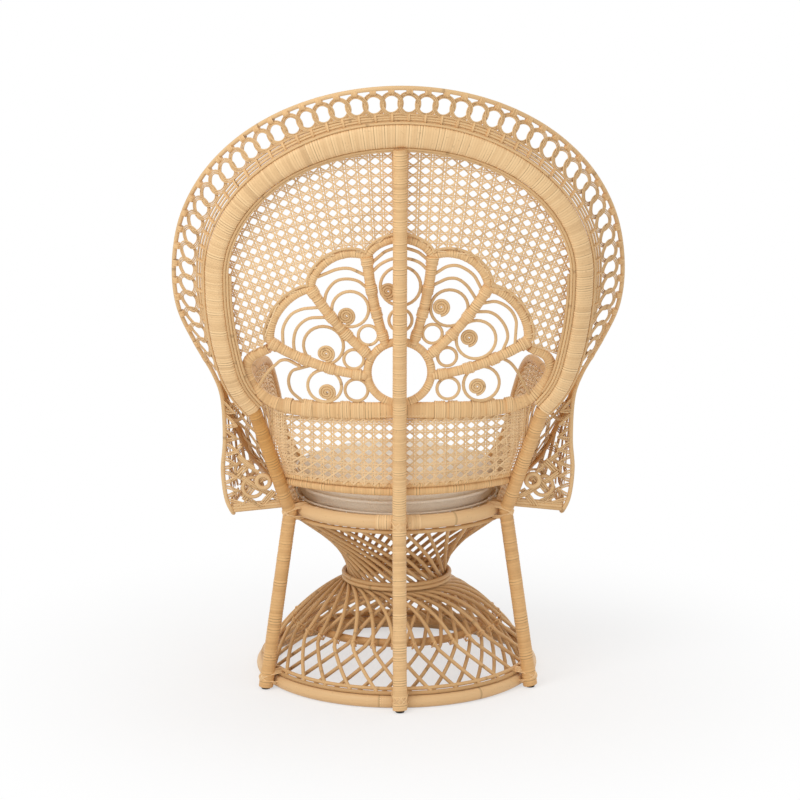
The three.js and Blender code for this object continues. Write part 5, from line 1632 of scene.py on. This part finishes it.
class PEACOCK_OT_stage(PieceOperator, bpy.types.Operator):
    """Set the floor, the soft light and the camera"""

    bl_idname = "peacock.stage"
    bl_label = "Stage"

    def execute(self, context):
        scene = context.scene
        scene.view_settings.view_transform = "Standard"
        floor = bpy.data.meshes.new("floor")
        corners = [(x * FLOOR_REACH, y * FLOOR_REACH, 0) for x, y in ((-1, -1), (1, -1), (1, 1), (-1, 1))]
        floor.from_pydata(corners, [], [(0, 1, 2, 3)])
        material, tree = new_material("floor_paper")
        here = node(tree, "ShaderNodeTexCoord").outputs["Object"]
        far = node(tree, "ShaderNodeVectorMath", {0: here}, operation="LENGTH").outputs["Value"]
        span = {"Value": far, "From Min": 0.5, "From Max": 1.3}
        fade = node(tree, "ShaderNodeMapRange", span, interpolation_type="SMOOTHSTEP").outputs[0]
        paper = node(tree, "ShaderNodeBsdfDiffuse", {"Color": (0.93, 0.93, 0.93, 1)})
        white = node(tree, "ShaderNodeEmission", {"Color": (1, 1, 1, 1), "Strength": 1.0})
        share = calc(tree, "MULTIPLY", calc(tree, "MULTIPLY_ADD", fade, 0.45, 0.55), direct_ray(tree))
        both = node(tree, "ShaderNodeMixShader", {0: share, 1: paper.outputs[0], 2: white.outputs[0]})
        node(tree, "ShaderNodeOutputMaterial", {"Surface": both.outputs[0]})
        floor.materials.append(material)
        piece = linked("floor", floor)

        world = scene.world or bpy.data.worlds.new("studio")
        scene.world = world
        world.use_nodes = True
        tree = world.node_tree
        tree.nodes.clear()
        soft = node(tree, "ShaderNodeBackground", {"Color": (1, 1, 1, 1), "Strength": 0.74})
        white = node(tree, "ShaderNodeBackground", {"Color": (1, 1, 1, 1), "Strength": 1.0})
        shaders = {0: direct_ray(tree), 1: soft.outputs[0], 2: white.outputs[0]}
        both = node(tree, "ShaderNodeMixShader", shaders)
        node(tree, "ShaderNodeOutputWorld", {"Surface": both.outputs[0]})

        for name, spot, size, power in LAMPS:
            lamp = bpy.data.lights.new(name, "AREA")
            lamp.size = size
            lamp.energy = power
            thing = linked(name, lamp)
            thing.location = spot
            aim = np.array(LAMP_TARGET) - spot
            thing.rotation_euler = (math.atan2(math.hypot(aim[0], aim[1]), -aim[2]), 0,
                                    math.atan2(aim[0], -aim[1]) + math.pi)

        lens = bpy.data.cameras.new("camera")
        lens.lens = CAMERA_LENS
        lens.sensor_width = 36.0
        lens.clip_end = 200.0
        camera = linked("camera", lens)
        camera.location = around_back(CAMERA_REACH, CAMERA_TURN, CAMERA_HEIGHT) * MM + SHIFT
        camera.rotation_euler = np.radians((90 - CAMERA_PITCH, 0, 180 - CAMERA_TURN - CAMERA_PAN))
        scene.camera = camera
        return {"FINISHED"}


OPERATORS = (
    PEACOCK_OT_hoops, PEACOCK_OT_stakes, PEACOCK_OT_posts, PEACOCK_OT_band, PEACOCK_OT_rails, PEACOCK_OT_fan,
    PEACOCK_OT_scrolls, PEACOCK_OT_cane_panels, PEACOCK_OT_border, PEACOCK_OT_arms, PEACOCK_OT_wings,
    PEACOCK_OT_lashings, PEACOCK_OT_seat_deck, PEACOCK_OT_cushion, PEACOCK_OT_stage,
)


class PEACOCK_PT_chair(bpy.types.Panel):
    """Sizes, colours and pieces of the chair"""

    bl_idname = "PEACOCK_PT_chair"
    bl_label = "Peacock chair"
    bl_space_type = "VIEW_3D"
    bl_region_type = "UI"
    bl_category = "Chair"

    def draw(self, context):
        for group in (context.scene.peacock_sizes, context.scene.peacock_finishes):
            box = self.layout.box()
            for name in group.__annotations__:
                box.prop(group, name)
        for operator in OPERATORS:
            self.layout.operator(operator.bl_idname)


CLASSES = (PEACOCK_sizes, PEACOCK_finishes, *OPERATORS, PEACOCK_PT_chair)


def register():
    for item in CLASSES:
        bpy.utils.register_class(item)
    bpy.types.Scene.peacock_sizes = PointerProperty(type=PEACOCK_sizes)
    bpy.types.Scene.peacock_finishes = PointerProperty(type=PEACOCK_finishes)


def unregister():
    del bpy.types.Scene.peacock_finishes
    del bpy.types.Scene.peacock_sizes
    for item in reversed(CLASSES):
        bpy.utils.unregister_class(item)


def main():
    register()
    for operator in OPERATORS:
        getattr(bpy.ops.peacock, operator.bl_idname.split(".")[1])()


if __name__ == "__main__":
    main()
